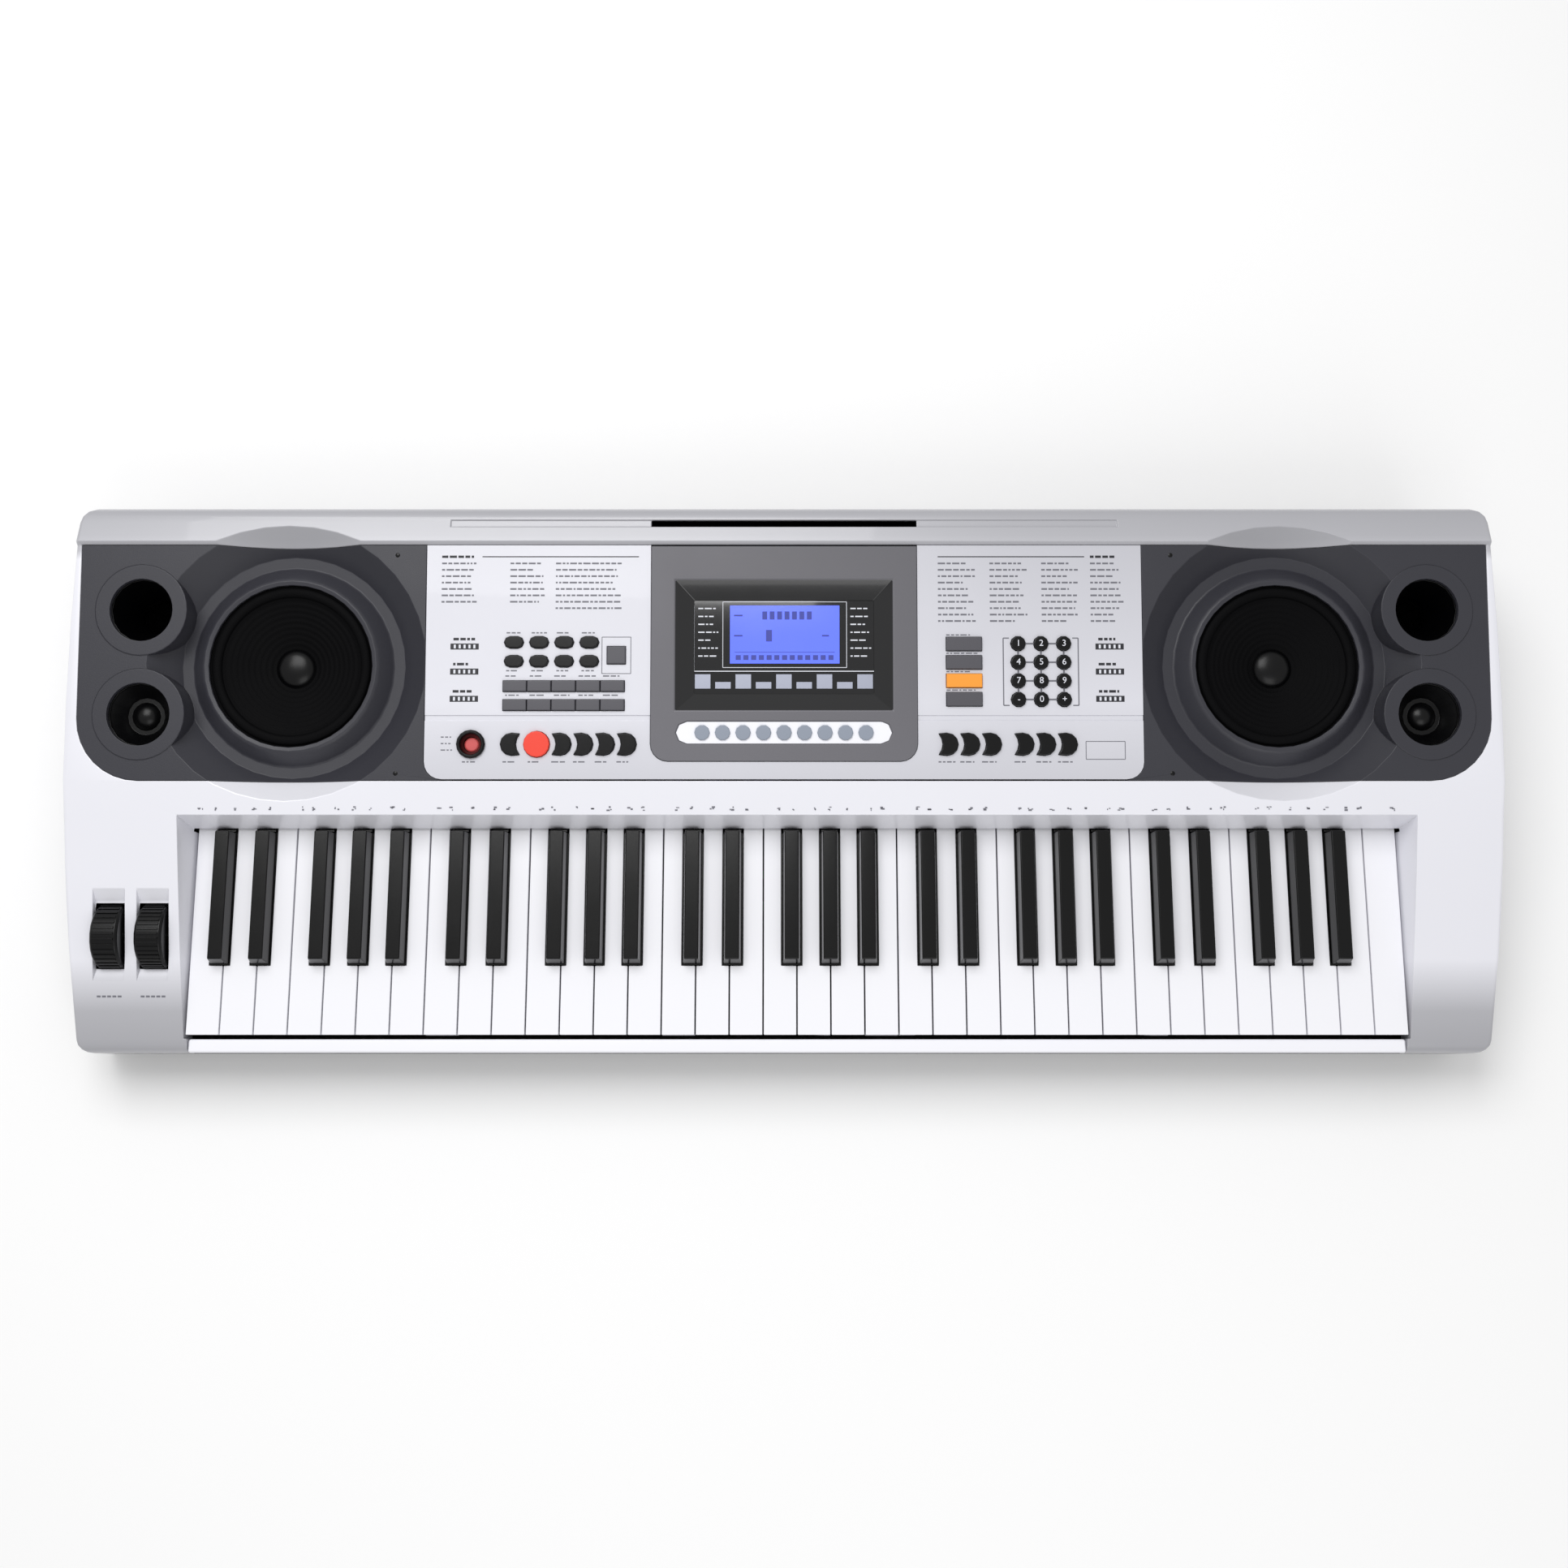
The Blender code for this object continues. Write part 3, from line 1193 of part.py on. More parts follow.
def panel_board():
    half = CONTROL_HALF_WIDTH - PANEL_BOARD_MARGIN / 4
    low, high = PANEL_BOARD_H - BOARD_THICKNESS, PANEL_BOARD_H
    board = block("panel_board", (-half, PANEL_BOARD_MARGIN, low), (half, PANEL_DEPTH - PANEL_BOARD_MARGIN, high))
    x0, x1, v0, v1 = window_rectangle(0, WINDOW_WALL + 0.0015)
    cut(board, block("window_space", (x0, v0, low - 0.01), (x1, v1, high + 0.01)))
    return finished(tidied(board), BOARD, parent=PANEL)


# Buttons


def centre_of(outlines):
    xs = [x for outline in outlines for x, _ in outline]
    vs = [v for outline in outlines for _, v in outline]
    return (min(xs) + max(xs)) / 2, (min(vs) + max(vs)) / 2


def button_group(name, outlines, webs, mat, height=CAP_HEIGHT, holes=()):
    """Caps on one web. The web's top is the stop that holds them in the panel."""
    pieces = [block("web", (x0, v0, WEB_UNDER), (x1, v1, WEB_TOP)) for x0, x1, v0, v1 in webs]
    for outline in outlines:
        pieces.append(soften_top(slab("cap", outline, WEB_TOP - WEB / 2, height)))
    group = fuse(name, pieces)
    for hole in holes:
        cut(group, slab("web_hole", hole, -0.0200, 0.0200))
    x, v = centre_of(outlines)
    return finished(tidied(group), mat, (x, v, WEB_TOP), PANEL)


def frame_round(outlines, margin=WEB_MARGIN):
    xs = [x for outline in outlines for x, _ in outline]
    vs = [v for outline in outlines for _, v in outline]
    return (min(xs) - margin, max(xs) + margin, min(vs) - margin, max(vs) + margin)


def buttons():
    ovals = [stadium(x, v, OVAL_LENGTH, OVAL_WIDTH) for x, v in oval_places()]
    button_group("oval_buttons", ovals, [frame_round(ovals)], BLACK)
    bars = [rectangle_outline(x, v, BAR_LENGTH, BAR_WIDTH) for x, v in bar_places()]
    button_group("bar_buttons", bars, [frame_round(bars)], GREY)
    start = circle(START_X, LOWER_ROW_V, START_RADIUS, 0, SMALL_SIDES)
    flange = circle(START_X, LOWER_ROW_V, START_RADIUS, WEB_MARGIN, SMALL_SIDES)
    cap = soften_top(slab("cap", start, WEB_TOP - WEB / 2, CAP_HEIGHT * 1.2))
    body = fuse("start_button", [slab("flange", flange, WEB_UNDER, WEB_TOP), cap])
    finished(tidied(body), RED, (START_X, LOWER_ROW_V, WEB_TOP), PANEL)
    crescents = left_crescents()
    x0, x1, v0, v1 = frame_round(crescents)
    space = circle(START_X, LOWER_ROW_V, START_RADIUS, 2 * WEB_MARGIN, SMALL_SIDES)
    band = 0.0055
    button_group("left_crescent_buttons", crescents, [(x0, x1, v0 - band, v1)], BLACK, holes=[space])
    crescents = right_crescents()
    button_group("right_crescent_buttons", crescents, [frame_round(crescents)], BLACK)
    rounds = [circle(x, v, DISPLAY_BUTTON_RADIUS) for x, v in display_places()]
    button_group("display_buttons", rounds, [frame_round(rounds)], GREY, BEZEL_RISE + 0.0008)
    rounds = [circle(x, v, KEYPAD_RADIUS) for x, v in keypad_places()]
    button_group("keypad_buttons", rounds, [frame_round(rounds)], BLACK)
    accent = [function_outline(1)]
    button_group("accent_button", accent, [frame_round(accent)], ORANGE)
    others = [function_outline(row) for row in (0, 2, 3)]
    x0, x1, _, v3 = frame_round(others)
    side = x1 + WEB_MARGIN
    outer = side + 2 * WEB_MARGIN
    _, _, v0, v1 = frame_round([function_outline(0)])
    _, _, v2, _ = frame_round([function_outline(2)])
    webs = [(x0, outer, v0, v1), (x0, outer, v2, v3), (side, outer, v0, v3)]
    button_group("function_buttons", others, webs, GREY)


def rocker():
    """Two-way switch that rocks about the panel's X direction."""
    pivot_h = WEB_TOP
    half, tall = ROCKER_WIDTH / 2, ROCKER_LENGTH / 2
    lean = 0.0004
    left, right = ROCKER_X - half, ROCKER_X + half
    front, rear = ROCKER_V - tall, ROCKER_V + tall
    top = tapered_block("value_rocker", (left, right, front + lean, rear - lean), pivot_h - WEB,
                        (left, right, front, rear), CAP_HEIGHT * 0.8)
    return finished(soften_top(top), GREY, (ROCKER_X, ROCKER_V, pivot_h), PANEL)


def power_switch():
    """Round collar with a funnel, and the push button that is sunk in it."""
    flange = -PLATE - GAP
    bore = POWER_RADIUS + GAP
    funnel = COLLAR_RADIUS * 0.75
    foot = flange - 0.0010
    loop = [
        (bore, foot), (bore, -POWER_SINK * 0.4), (funnel, COLLAR_RISE - 0.0004), (funnel + 0.0005, COLLAR_RISE),
        (COLLAR_RADIUS - 0.0010, COLLAR_RISE), (COLLAR_RADIUS, COLLAR_RISE - 0.0012), (COLLAR_RADIUS, GAP),
        (COLLAR_NECK, GAP), (COLLAR_NECK, foot),
    ]
    collar = turned("power_collar", loop, SMALL_SIDES, (POWER_X, LOWER_ROW_V), ring=True)
    finished(collar, BLACK, parent=PANEL)
    low = PANEL_BOARD_H + 0.0026
    profile = [(0, -POWER_SINK), (POWER_RADIUS * 0.8, -POWER_SINK), (POWER_RADIUS, -POWER_SINK - 0.0008),
               (POWER_RADIUS, flange - 0.0006), (0, flange - 0.0006)]
    button = turned("power_button", profile, SMALL_SIDES, (POWER_X, LOWER_ROW_V))
    finished(button, RED, (POWER_X, LOWER_ROW_V, low), PANEL)


# Wheels


def wheel(name, wheel_x):
    half = WHEEL_WIDTH / 2
    bore = AXLE_RADIUS + GAP
    edge = 0.0015
    loop = [(bore, -half), (bore, half), (WHEEL_RADIUS - edge, half), (WHEEL_RADIUS, half - edge),
            (WHEEL_RADIUS, -half + edge), (WHEEL_RADIUS - edge, -half)]
    obj = turned(name, loop, WHEEL_SIDES, ring=True, along="X")
    obj.data.transform(Matrix.Translation((wheel_x, WHEEL_Y, WHEEL_Z)))
    return finished(obj, BLACK, (wheel_x, WHEEL_Y, WHEEL_Z))


def wheel_bracket():
    """Base on the lower case with three ears that hold the wheels' axle."""
    low = FLOOR_Z + GAP
    ear_top = WHEEL_Z + AXLE_RADIUS + EAR_CROWN
    margin = 0.0012
    middle = (PITCH_WHEEL_X + MOD_WHEEL_X) / 2
    outer = (MOD_WHEEL_X - PITCH_WHEEL_X) / 2 + WHEEL_WIDTH / 2 + margin
    ears = (middle - outer - EAR, middle - EAR / 2, middle + outer)
    half = EAR_DEPTH / 2
    pieces = [block("base", (ears[0], WHEEL_Y - half - 0.004, low),
                    (ears[2] + EAR, WHEEL_Y + half + 0.004, low + EAR))]
    for x in ears:
        pieces.append(block("ear", (x, WHEEL_Y - half, low + 0.0005), (x + EAR, WHEEL_Y + half, ear_top)))
    bracket = fuse("wheel_bracket", pieces)
    bore = AXLE_RADIUS + GAP
    cut(bracket, cylinder("bore", bore, ears[0] - 0.01, ears[2] + 0.02, (WHEEL_Y, WHEEL_Z), SMALL_SIDES, "X"))
    finished(tidied(bracket), CHARCOAL)
    axle = cylinder("wheel_axle", AXLE_RADIUS, ears[0] - 0.001, ears[2] + EAR + 0.001, (WHEEL_Y, WHEEL_Z),
                    SMALL_SIDES, "X")
    finished(axle, STEEL)


# Rear pieces and boards


def rest_socket():
    """Pocket under the slot in the rear strip, for the foot of a music rest."""
    wide, deep = REST_SLOT_HALF_WIDTH, REST_SLOT_WIDTH / 2
    wall = SOCKET_WALL
    low = SOCKET_TOP_Z - SOCKET_DEPTH
    pocket = block("music_rest_socket", (-wide - wall, REST_SLOT_Y - deep - wall, low),
                   (wide + wall, REST_SLOT_Y + deep + wall, SOCKET_TOP_Z))
    cut(pocket, block("space", (-wide, REST_SLOT_Y - deep, low + wall), (wide, REST_SLOT_Y + deep, 0.12)))
    return finished(tidied(pocket), BLACK)


def jack(name, jack_x, bore):
    """Socket body behind the rear wall, with its barrel in the wall's hole."""
    inner_face = REAR_Y - WALL - GAP
    half = JACK_BODY / 2
    body = block("body", (jack_x - half, inner_face - JACK_LENGTH, JACK_Z - half),
                 (jack_x + half, inner_face, JACK_Z + half))
    turn = Matrix.Translation((jack_x, 0, JACK_Z)) @ Matrix.Rotation(pi / 2, 4, "X")
    barrel = cylinder("barrel", JACK_RADIUS, -REAR_Y + GAP, -inner_face + 0.002, sides=SMALL_SIDES)
    barrel.data.transform(turn)
    hollow = cylinder("hollow", bore, -REAR_Y - 0.01, -inner_face + JACK_LENGTH * 0.75, sides=CAP_SIDES)
    hollow.data.transform(turn)
    return finished(tidied(cut(fuse(name, [body, barrel]), hollow)), BLACK)


def main_board():
    low = FLOOR_Z + STANDOFF
    board = block("main_board", (MAIN_BOARD_LEFT, MAIN_BOARD_FRONT, low),
                  (MAIN_BOARD_RIGHT, MAIN_BOARD_REAR, low + BOARD_THICKNESS))
    return finished(board, BOARD)


PANEL = bpy.data.objects.new("panel_frame", None)
PANEL.matrix_world = PANEL_MATRIX
PARTS.objects.link(PANEL)

upper_case()
lower_case()
battery_door()
feet()
front_rail()
keys()
key_chassis()
contact_board()
baffles()
for label, direction in (("left", -1), ("right", 1)):
    woofer(label + "_woofer", direction)
    tweeter(label + "_tweeter", direction)
    port_tube(label + "_port_tube", direction)
control_panel()
display_bezel()
display()
panel_board()
buttons()
rocker()
power_switch()
wheel("pitch_wheel", PITCH_WHEEL_X)
wheel("modulation_wheel", MOD_WHEEL_X)
wheel_bracket()
rest_socket()
jack("dc_inlet", INLET_X, INLET_BORE)
jack("headphone_jack", PHONES_X, PHONES_BORE)
main_board()
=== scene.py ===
"""Looks of the portable keyboard: finishes, softened edges, printed marks and the lit display."""
import json
import random
from math import cos, pi, radians, sin

import bpy
from mathutils import Matrix, Vector

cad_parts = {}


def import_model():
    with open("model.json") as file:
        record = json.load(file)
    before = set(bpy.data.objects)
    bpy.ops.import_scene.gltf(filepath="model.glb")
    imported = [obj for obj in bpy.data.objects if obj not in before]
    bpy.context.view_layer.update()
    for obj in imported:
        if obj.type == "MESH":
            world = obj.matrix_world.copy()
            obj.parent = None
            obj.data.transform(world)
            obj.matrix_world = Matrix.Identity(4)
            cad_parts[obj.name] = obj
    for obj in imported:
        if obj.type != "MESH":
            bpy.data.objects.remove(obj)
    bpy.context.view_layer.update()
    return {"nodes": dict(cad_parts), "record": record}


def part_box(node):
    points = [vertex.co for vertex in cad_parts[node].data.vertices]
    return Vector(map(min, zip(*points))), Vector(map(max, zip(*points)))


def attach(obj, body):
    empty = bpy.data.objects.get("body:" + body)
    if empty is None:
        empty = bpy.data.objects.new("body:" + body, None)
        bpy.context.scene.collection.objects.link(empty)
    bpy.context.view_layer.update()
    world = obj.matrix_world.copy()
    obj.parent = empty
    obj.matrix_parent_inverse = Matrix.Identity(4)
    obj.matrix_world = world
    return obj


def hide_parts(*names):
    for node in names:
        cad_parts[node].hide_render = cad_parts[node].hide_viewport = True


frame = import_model()
nodes = frame["nodes"]
record = frame["record"]
BODY_OF = {node: body for body, members in record["behaviour"]["bodies"].items() for node in members}
SLOT_OF = {part["node"]: part["material_slot"] for part in record["subparts"]}

# Panel plane: x to the right, v up the slope from its front edge, h out of it
PANEL_FRONT = (0.0, -0.0035, 0.0915)
PANEL_TILT = radians(6.0)
PANEL = Matrix.Translation(PANEL_FRONT) @ Matrix.Rotation(PANEL_TILT, 4, "X")
CAP_TOP = 0.0022

# Ink: how thick it lies, and how far it stands off the surface
INK = 0.00006
LIFT = 0.00002

# Points closer than these are one point, and faces within these angles shade as one
MERGE = 0.00001
SEAM_MERGE = 0.000005
FLAT_ANGLE = radians(1)
EDGE_ANGLE = radians(30)
SMOOTH_ANGLE = radians(32)
TURNED_ANGLE = radians(40)

# Radius of each piece's rounded edges
CASE_EDGE = 0.0006
RAIL_EDGE = 0.0008
PANEL_EDGE = 0.00025
DOOR_EDGE = 0.0003
FOOT_EDGE = 0.0004
FITTING_EDGE = 0.0002
WHEEL_EDGE = 0.0005
NATURAL_EDGE = 0.0005
SHARP_EDGE = 0.0008
BAFFLE_EDGE = 0.0004
CAP_EDGE = 0.0003
LENS_EDGE = 0.0003

# Display: bezel, window in it, lens at the window's foot and the screen behind the lens
BEZEL_TOP = 0.0012
WINDOW_HALF = 0.0764
WINDOW_LOW = 0.0475
WINDOW_HIGH = 0.1407
WINDOW_WALL_TOP = 0.0002
LENS_TOP = -0.0093
SCREEN_X = 0.0005
SCREEN_V = 0.1031
SCREEN_WIDTH = 0.0766
SCREEN_HEIGHT = 0.0410
SCREEN_RISE = 0.0002
SCREEN_BOX = (-0.0428, 0.0438, 0.0798, 0.1262)
LENS_LISTS = ((-0.0600, -0.0455), (0.0465, 0.0610))
LENS_HEADING = (-0.0590, 0.0600, 0.1282)
LENS_LINE = 0.0006
TAB_LEFT = -0.0568
TAB_PITCH = 0.01418
TAB_WIDTH = 0.0108
TAB_HEIGHTS = (0.0100, 0.0046)
TAB_FOOT = 0.0650

# Apron behind the keys, and the cheeks beside them, whose ends are (Y, Z)
APRON_PLACE = (0, -0.0225, 0.0874)
APRON_TILT = 0.222
MARK_DRIFT_X = 0.0014
MARK_DRIFT_V = 0.0012
MARK_WIDTHS = (0.0005, 0.0024)
MARK_HEIGHTS = (0.0005, 0.0012)
CHEEK_FRONT = (-0.1805, 0.0575)
CHEEK_REAR = (-0.0270, 0.0862)
CHEEK_CROWN = 0.0012

# Wheels
WHEEL_RIBS = {"pitch_wheel": 36, "modulation_wheel": 44}
RIB_WIDTH = 0.0016
RIB_HEIGHT = 0.0010
RIB_EDGE = 0.0002
RIM_LAND = 0.0022
WHEEL_LABEL_Y = -0.1500
WHEEL_LABEL_TILT = 0.2
WHEEL_DASH = (0.0026, 0.0012)
WHEEL_DASH_LEFT = -0.007
WHEEL_DASH_PITCH = 0.0036

# Keys
KEY_LEFT = -0.4140
OCTAVES = 5
OCTAVE = 0.1645
NATURAL_PITCH = OCTAVE / 7
SHARPS = (0.0209, 0.0491, 0.0904, 0.1172, 0.1437)

# Speakers: dust cap and basket are outlines of (radius, height) below the panel
WOOFER_X = 0.3450
WOOFER_V = 0.0810
DUST_CAP_OUTLINE = [(0, -0.0180), (0.0040, -0.0182), (0.0080, -0.0190), (0.0112, -0.0204), (0.0130, -0.0222),
                    (0.0136, -0.0232)]
DUST_CAP_RADIUS = 0.0137
DUST_CAP_DEPTH = -0.03
CONE_INNER = 0.0142
CONE_OUTER = 0.0478
CONE_FOOT = -0.0240
CONE_RISE = 0.0108
CONE_CURVE = 0.9
CONE_RIBS = 9
CONE_RIB_HEIGHT = 0.00022
SURROUND_ROLL = 0.0036
SURROUND_FLATNESS = 0.75
SURROUND_GAP = 0.0008
SURROUND_FOOT = -0.0126
BASKET_OUTLINE = [(0.0568, -0.0126), (0.0588, -0.0126), (0.0588, -0.0150), (0.0500, -0.0160),
                  (0.0330, -0.0400), (0.0310, -0.0400), (0.0310, -0.0540), (0, -0.0540)]
SCREW_PLACES = ((0.2690, 0.1573), (0.2680, 0.0048))
SCREW_OUTLINE = [(0, 0.0004), (0.0010, 0.0004), (0.0016, 0.0001), (0.0016, -0.0004), (0, -0.0004)]

# Dashes that stand for printed words
SMALL_PRINT = 0.0009
FINE_PRINT = 0.0008
DASH_GAP = 0.0010
DASH_WIDTHS = (0.0012, 0.0052)
RAGGED = 0.35

# Printed lists, as (left, right, rows), with their headings and the lines beside these
LIST_COLUMNS = ((-0.2380, -0.2120, 7), (-0.1904, -0.1660, 7), (-0.1587, -0.1054, 8), (0.1070, 0.1350, 10),
                (0.1430, 0.1700, 10), (0.1790, 0.2050, 10), (0.2130, 0.2360, 10))
LIST_V = 0.1515
LIST_PITCH = 0.0045
LIST_PRINT = 0.0012
HEADING_V = 0.1562
HEADING_PRINT = 0.0017
HEADING_LINE = 0.0007
HEADINGS = ((-0.2380, -0.2120), (0.2130, 0.2360))
HEADING_LINES = ((-0.1555, 0.1090), (0.1580, 0.1020))

# Label blocks at the panel's two sides: a heading over a dark bar with light windows
BLOCK_LEFTS = (-0.2313, 0.2160)
BLOCK_ROWS = (0.0945, 0.0770, 0.0580)
BLOCK_HEADING = (0.002, 0.018)
BLOCK_HEADING_RISE = 0.0038
BLOCK_PRINT = 0.0018
BLOCK_BAR = (0.0196, 0.0042)
BLOCK_BAR_DROP = 0.0014
BLOCK_WINDOWS = 5
BLOCK_WINDOW = (0.0014, 0.0026)
BLOCK_WINDOW_LEFT = 0.0030
BLOCK_WINDOW_PITCH = 0.0034

# Buttons: the labels of a row start at (left, width) and repeat at its pitch
OVAL_LABELS = (-0.1925, 0.0110)
OVAL_PITCH = 0.0174
OVAL_LABEL_ROWS = (0.0762, 0.1027)
BAR_LABELS = (-0.1930, 0.0130)
BAR_PITCH = 0.0169
BAR_LABEL_ROWS = (0.0591, 0.0725)
ROUND_BUTTONS = (-0.2162, -0.1882, -0.1708, -0.1546, -0.1396, -0.1246, -0.1096, 0.1126, 0.1276, 0.1426,
                 0.1650, 0.1800, 0.1950)
ROUND_LABEL_V = 0.0128
ROUND_LABEL_HALF = 0.0060
POWER_LABEL = (-0.2370, -0.2285, 0.0300)
FUNCTION_LABEL = (0.1125, 0.1371)
FUNCTION_LABEL_RISE = 0.0064
FUNCTION_FOOT = 0.0563
FUNCTION_PITCH = 0.01285
KEYPAD_ROWS = ("-0+", "789", "456", "123")
KEYPAD_FOOT = (0.1623, 0.0561)
KEYPAD_PITCH = (0.0158, 0.0130)
DIGIT_SIZE = 0.0062
ROCKER_BOX = (-0.1262, -0.1062, 0.0742, 0.0997)
EMPTY_BOX = (0.2085, 0.2355, 0.0146, 0.0270)
BRACKETS = (0.1520, 0.2040)
BRACKET_V = 0.0755
BRACKET_HEIGHT = 0.0470
BRACKET_TIPS = (0.1540, 0.2020)
BRACKET_TIP_ROWS = (0.0520, 0.0990)
BRACKET_TIP = 0.0040
LINK_MIDDLE = (0.1781, 0.0756)
LINK_LENGTHS = (0.0300, 0.0380)
PRINTED_LINE = 0.0005
BRACKET_LINE = 0.0008
LINK_LINE = 0.0012

# Studio
FLOOR_SIZE = 8.0
WORLD_STRENGTH = 0.55
CAMERA_PLACE = (0.0, -0.1973, 1.1546)
CAMERA_TILT = radians(10.2)
CAMERA_LENS = 36.0


def srgb(red, green, blue):
    """Linear colour from the 0 to 255 values seen on a screen."""
    return tuple((level / 255) ** 2.2 for level in (red, green, blue))


def pick(obj):
    """Selects one object alone and makes it the active one."""
    bpy.ops.object.select_all(action="DESELECT")
    obj.select_set(True)
    bpy.context.view_layer.objects.active = obj
    return obj


def linked(name, mesh):
    """A new object of this mesh, picked."""
    obj = bpy.data.objects.new(name, mesh)
    bpy.context.scene.collection.objects.link(obj)
    return pick(obj)


# Materials


def group_socket(group, name, kind, direction, value=None):
    """One named socket of a shader group, with its plain value."""
    socket = group.interface.new_socket(name=name, in_out=direction, socket_type=kind)
    if value is not None:
        socket.default_value = value


def noise(tree, scale, detail):
    """A noise pattern; its scale is left to a link where none is given."""
    texture = tree.new("ShaderNodeTexNoise")
    texture.inputs["Detail"].default_value = detail
    if scale:
        texture.inputs["Scale"].default_value = scale
    return texture


def moulded_skin():
    """Fine grain, faint mottling and handling marks that every moulded surface shares."""
    group = bpy.data.node_groups.new("moulded_skin", "ShaderNodeTree")
    group_socket(group, "Vector", "NodeSocketVector", "INPUT")
    group_socket(group, "Dark", "NodeSocketColor", "INPUT", (0, 0, 0, 1))
    group_socket(group, "Light", "NodeSocketColor", "INPUT", (1, 1, 1, 1))
    group_socket(group, "Grain", "NodeSocketFloat", "INPUT", 900.0)
    group_socket(group, "Gloss", "NodeSocketFloat", "INPUT", 0.3)
    group_socket(group, "Spread", "NodeSocketFloat", "INPUT", 0.08)
    group_socket(group, "Color", "NodeSocketColor", "OUTPUT")
    group_socket(group, "Roughness", "NodeSocketFloat", "OUTPUT")
    group_socket(group, "Height", "NodeSocketFloat", "OUTPUT")
    tree = group.nodes
    link = group.links.new
    enter = tree.new("NodeGroupInput")
    leave = tree.new("NodeGroupOutput")
    mottle = noise(tree, 9.0, 5.0)
    marks = noise(tree, 38.0, 8.0)
    grain = noise(tree, None, 3.0)
    for texture in (mottle, marks, grain):
        link(enter.outputs["Vector"], texture.inputs["Vector"])
    link(enter.outputs["Grain"], grain.inputs["Scale"])
    blend = tree.new("ShaderNodeMix")
    blend.data_type = "RGBA"
    link(mottle.outputs["Fac"], blend.inputs["Factor"])
    link(enter.outputs["Dark"], blend.inputs["A"])
    link(enter.outputs["Light"], blend.inputs["B"])
    centred = tree.new("ShaderNodeMath")
    centred.operation = "SUBTRACT"
    centred.inputs[1].default_value = 0.5
    link(marks.outputs["Fac"], centred.inputs[0])
    gloss = tree.new("ShaderNodeMath")
    gloss.operation = "MULTIPLY_ADD"
    link(centred.outputs[0], gloss.inputs[0])
    link(enter.outputs["Spread"], gloss.inputs[1])
    link(enter.outputs["Gloss"], gloss.inputs[2])
    link(blend.outputs["Result"], leave.inputs["Color"])
    link(gloss.outputs[0], leave.inputs["Roughness"])
    link(grain.outputs["Fac"], leave.inputs["Height"])
    return group


SKIN = moulded_skin()


def paint_shade_along_y(tree, colour_from, place, stops):
    """Paints shade onto a colour: multiplies it by brightness stops, each a (place along Y, brightness)."""
    link = tree.links.new
    low = stops[0][0]
    high = stops[-1][0]
    split = tree.nodes.new("ShaderNodeSeparateXYZ")
    span = tree.nodes.new("ShaderNodeMapRange")
    span.inputs["From Min"].default_value = low
    span.inputs["From Max"].default_value = high
    ramp = tree.nodes.new("ShaderNodeValToRGB")
    elements = ramp.color_ramp.elements
    for index, (y, level) in enumerate(stops):
        share = (y - low) / (high - low)
        element = elements[index] if index < 2 else elements.new(share)
        element.position = share
        element.color = (level, level, level * 1.01, 1)
    tint = tree.nodes.new("ShaderNodeMix")
    tint.data_type = "RGBA"
    tint.blend_type = "MULTIPLY"
    tint.inputs["Factor"].default_value = 1.0
    link(place.outputs["Object"], split.inputs["Vector"])
    link(split.outputs["Y"], span.inputs["Value"])
    link(span.outputs["Result"], ramp.inputs["Fac"])
    link(colour_from, tint.inputs["A"])
    link(ramp.outputs["Color"], tint.inputs["B"])
    return tint.outputs["Result"]


def finish(name, colour, roughness, grain=900.0, depth=0.02, contrast=0.05, spread=0.08, metallic=0.0,
           coat=0.0, specular=0.5, painted_shade=None):
    """A moulded, painted or printed finish over the shared skin, with painted shade along Y where stops are
    given.
    """
    mat = bpy.data.materials.new(name)
    mat.use_nodes = True
    tree = mat.node_tree
    link = tree.links.new
    shader = tree.nodes["Principled BSDF"]
    place = tree.nodes.new("ShaderNodeTexCoord")
    skin = tree.nodes.new("ShaderNodeGroup")
    skin.name = "skin"
    skin.node_tree = SKIN
    skin.inputs["Dark"].default_value = (*(level * (1 - contrast) for level in colour), 1)
    skin.inputs["Light"].default_value = (*(min(level * (1 + contrast), 1) for level in colour), 1)
    skin.inputs["Grain"].default_value = grain
    skin.inputs["Gloss"].default_value = roughness
    skin.inputs["Spread"].default_value = spread
    bump = tree.nodes.new("ShaderNodeBump")
    bump.inputs["Strength"].default_value = depth
    bump.inputs["Distance"].default_value = 0.001
    link(place.outputs["Object"], skin.inputs["Vector"])
    link(skin.outputs["Roughness"], shader.inputs["Roughness"])
    link(skin.outputs["Height"], bump.inputs["Height"])
    link(bump.outputs["Normal"], shader.inputs["Normal"])
    colour_from = skin.outputs["Color"]
    # Painted shade: where stops are given, brightness stops along Y darken the colour.
    if painted_shade:
        colour_from = paint_shade_along_y(tree, colour_from, place, painted_shade)
    link(colour_from, shader.inputs["Base Color"])
    shader.inputs["Metallic"].default_value = metallic
    shader.inputs["Coat Weight"].default_value = coat
    shader.inputs["Specular IOR Level"].default_value = specular
    return mat


def backlit(name, colour, strength):
    """A lit surface: its colour glows evenly, with a faint cloud from the lamp behind."""
    mat = finish(name, colour, roughness=0.12, grain=400.0, depth=0.0, contrast=0.04)
    shader = mat.node_tree.nodes["Principled BSDF"]
    skin = mat.node_tree.nodes["skin"]
    mat.node_tree.links.new(skin.outputs["Color"], shader.inputs["Emission Color"])
    shader.inputs["Emission Strength"].default_value = strength
    return mat


def ink(name, colour, contrast=0.06):
    """Flat printing ink."""
    return finish(name, colour, roughness=0.5, grain=800, depth=0.0, contrast=contrast)
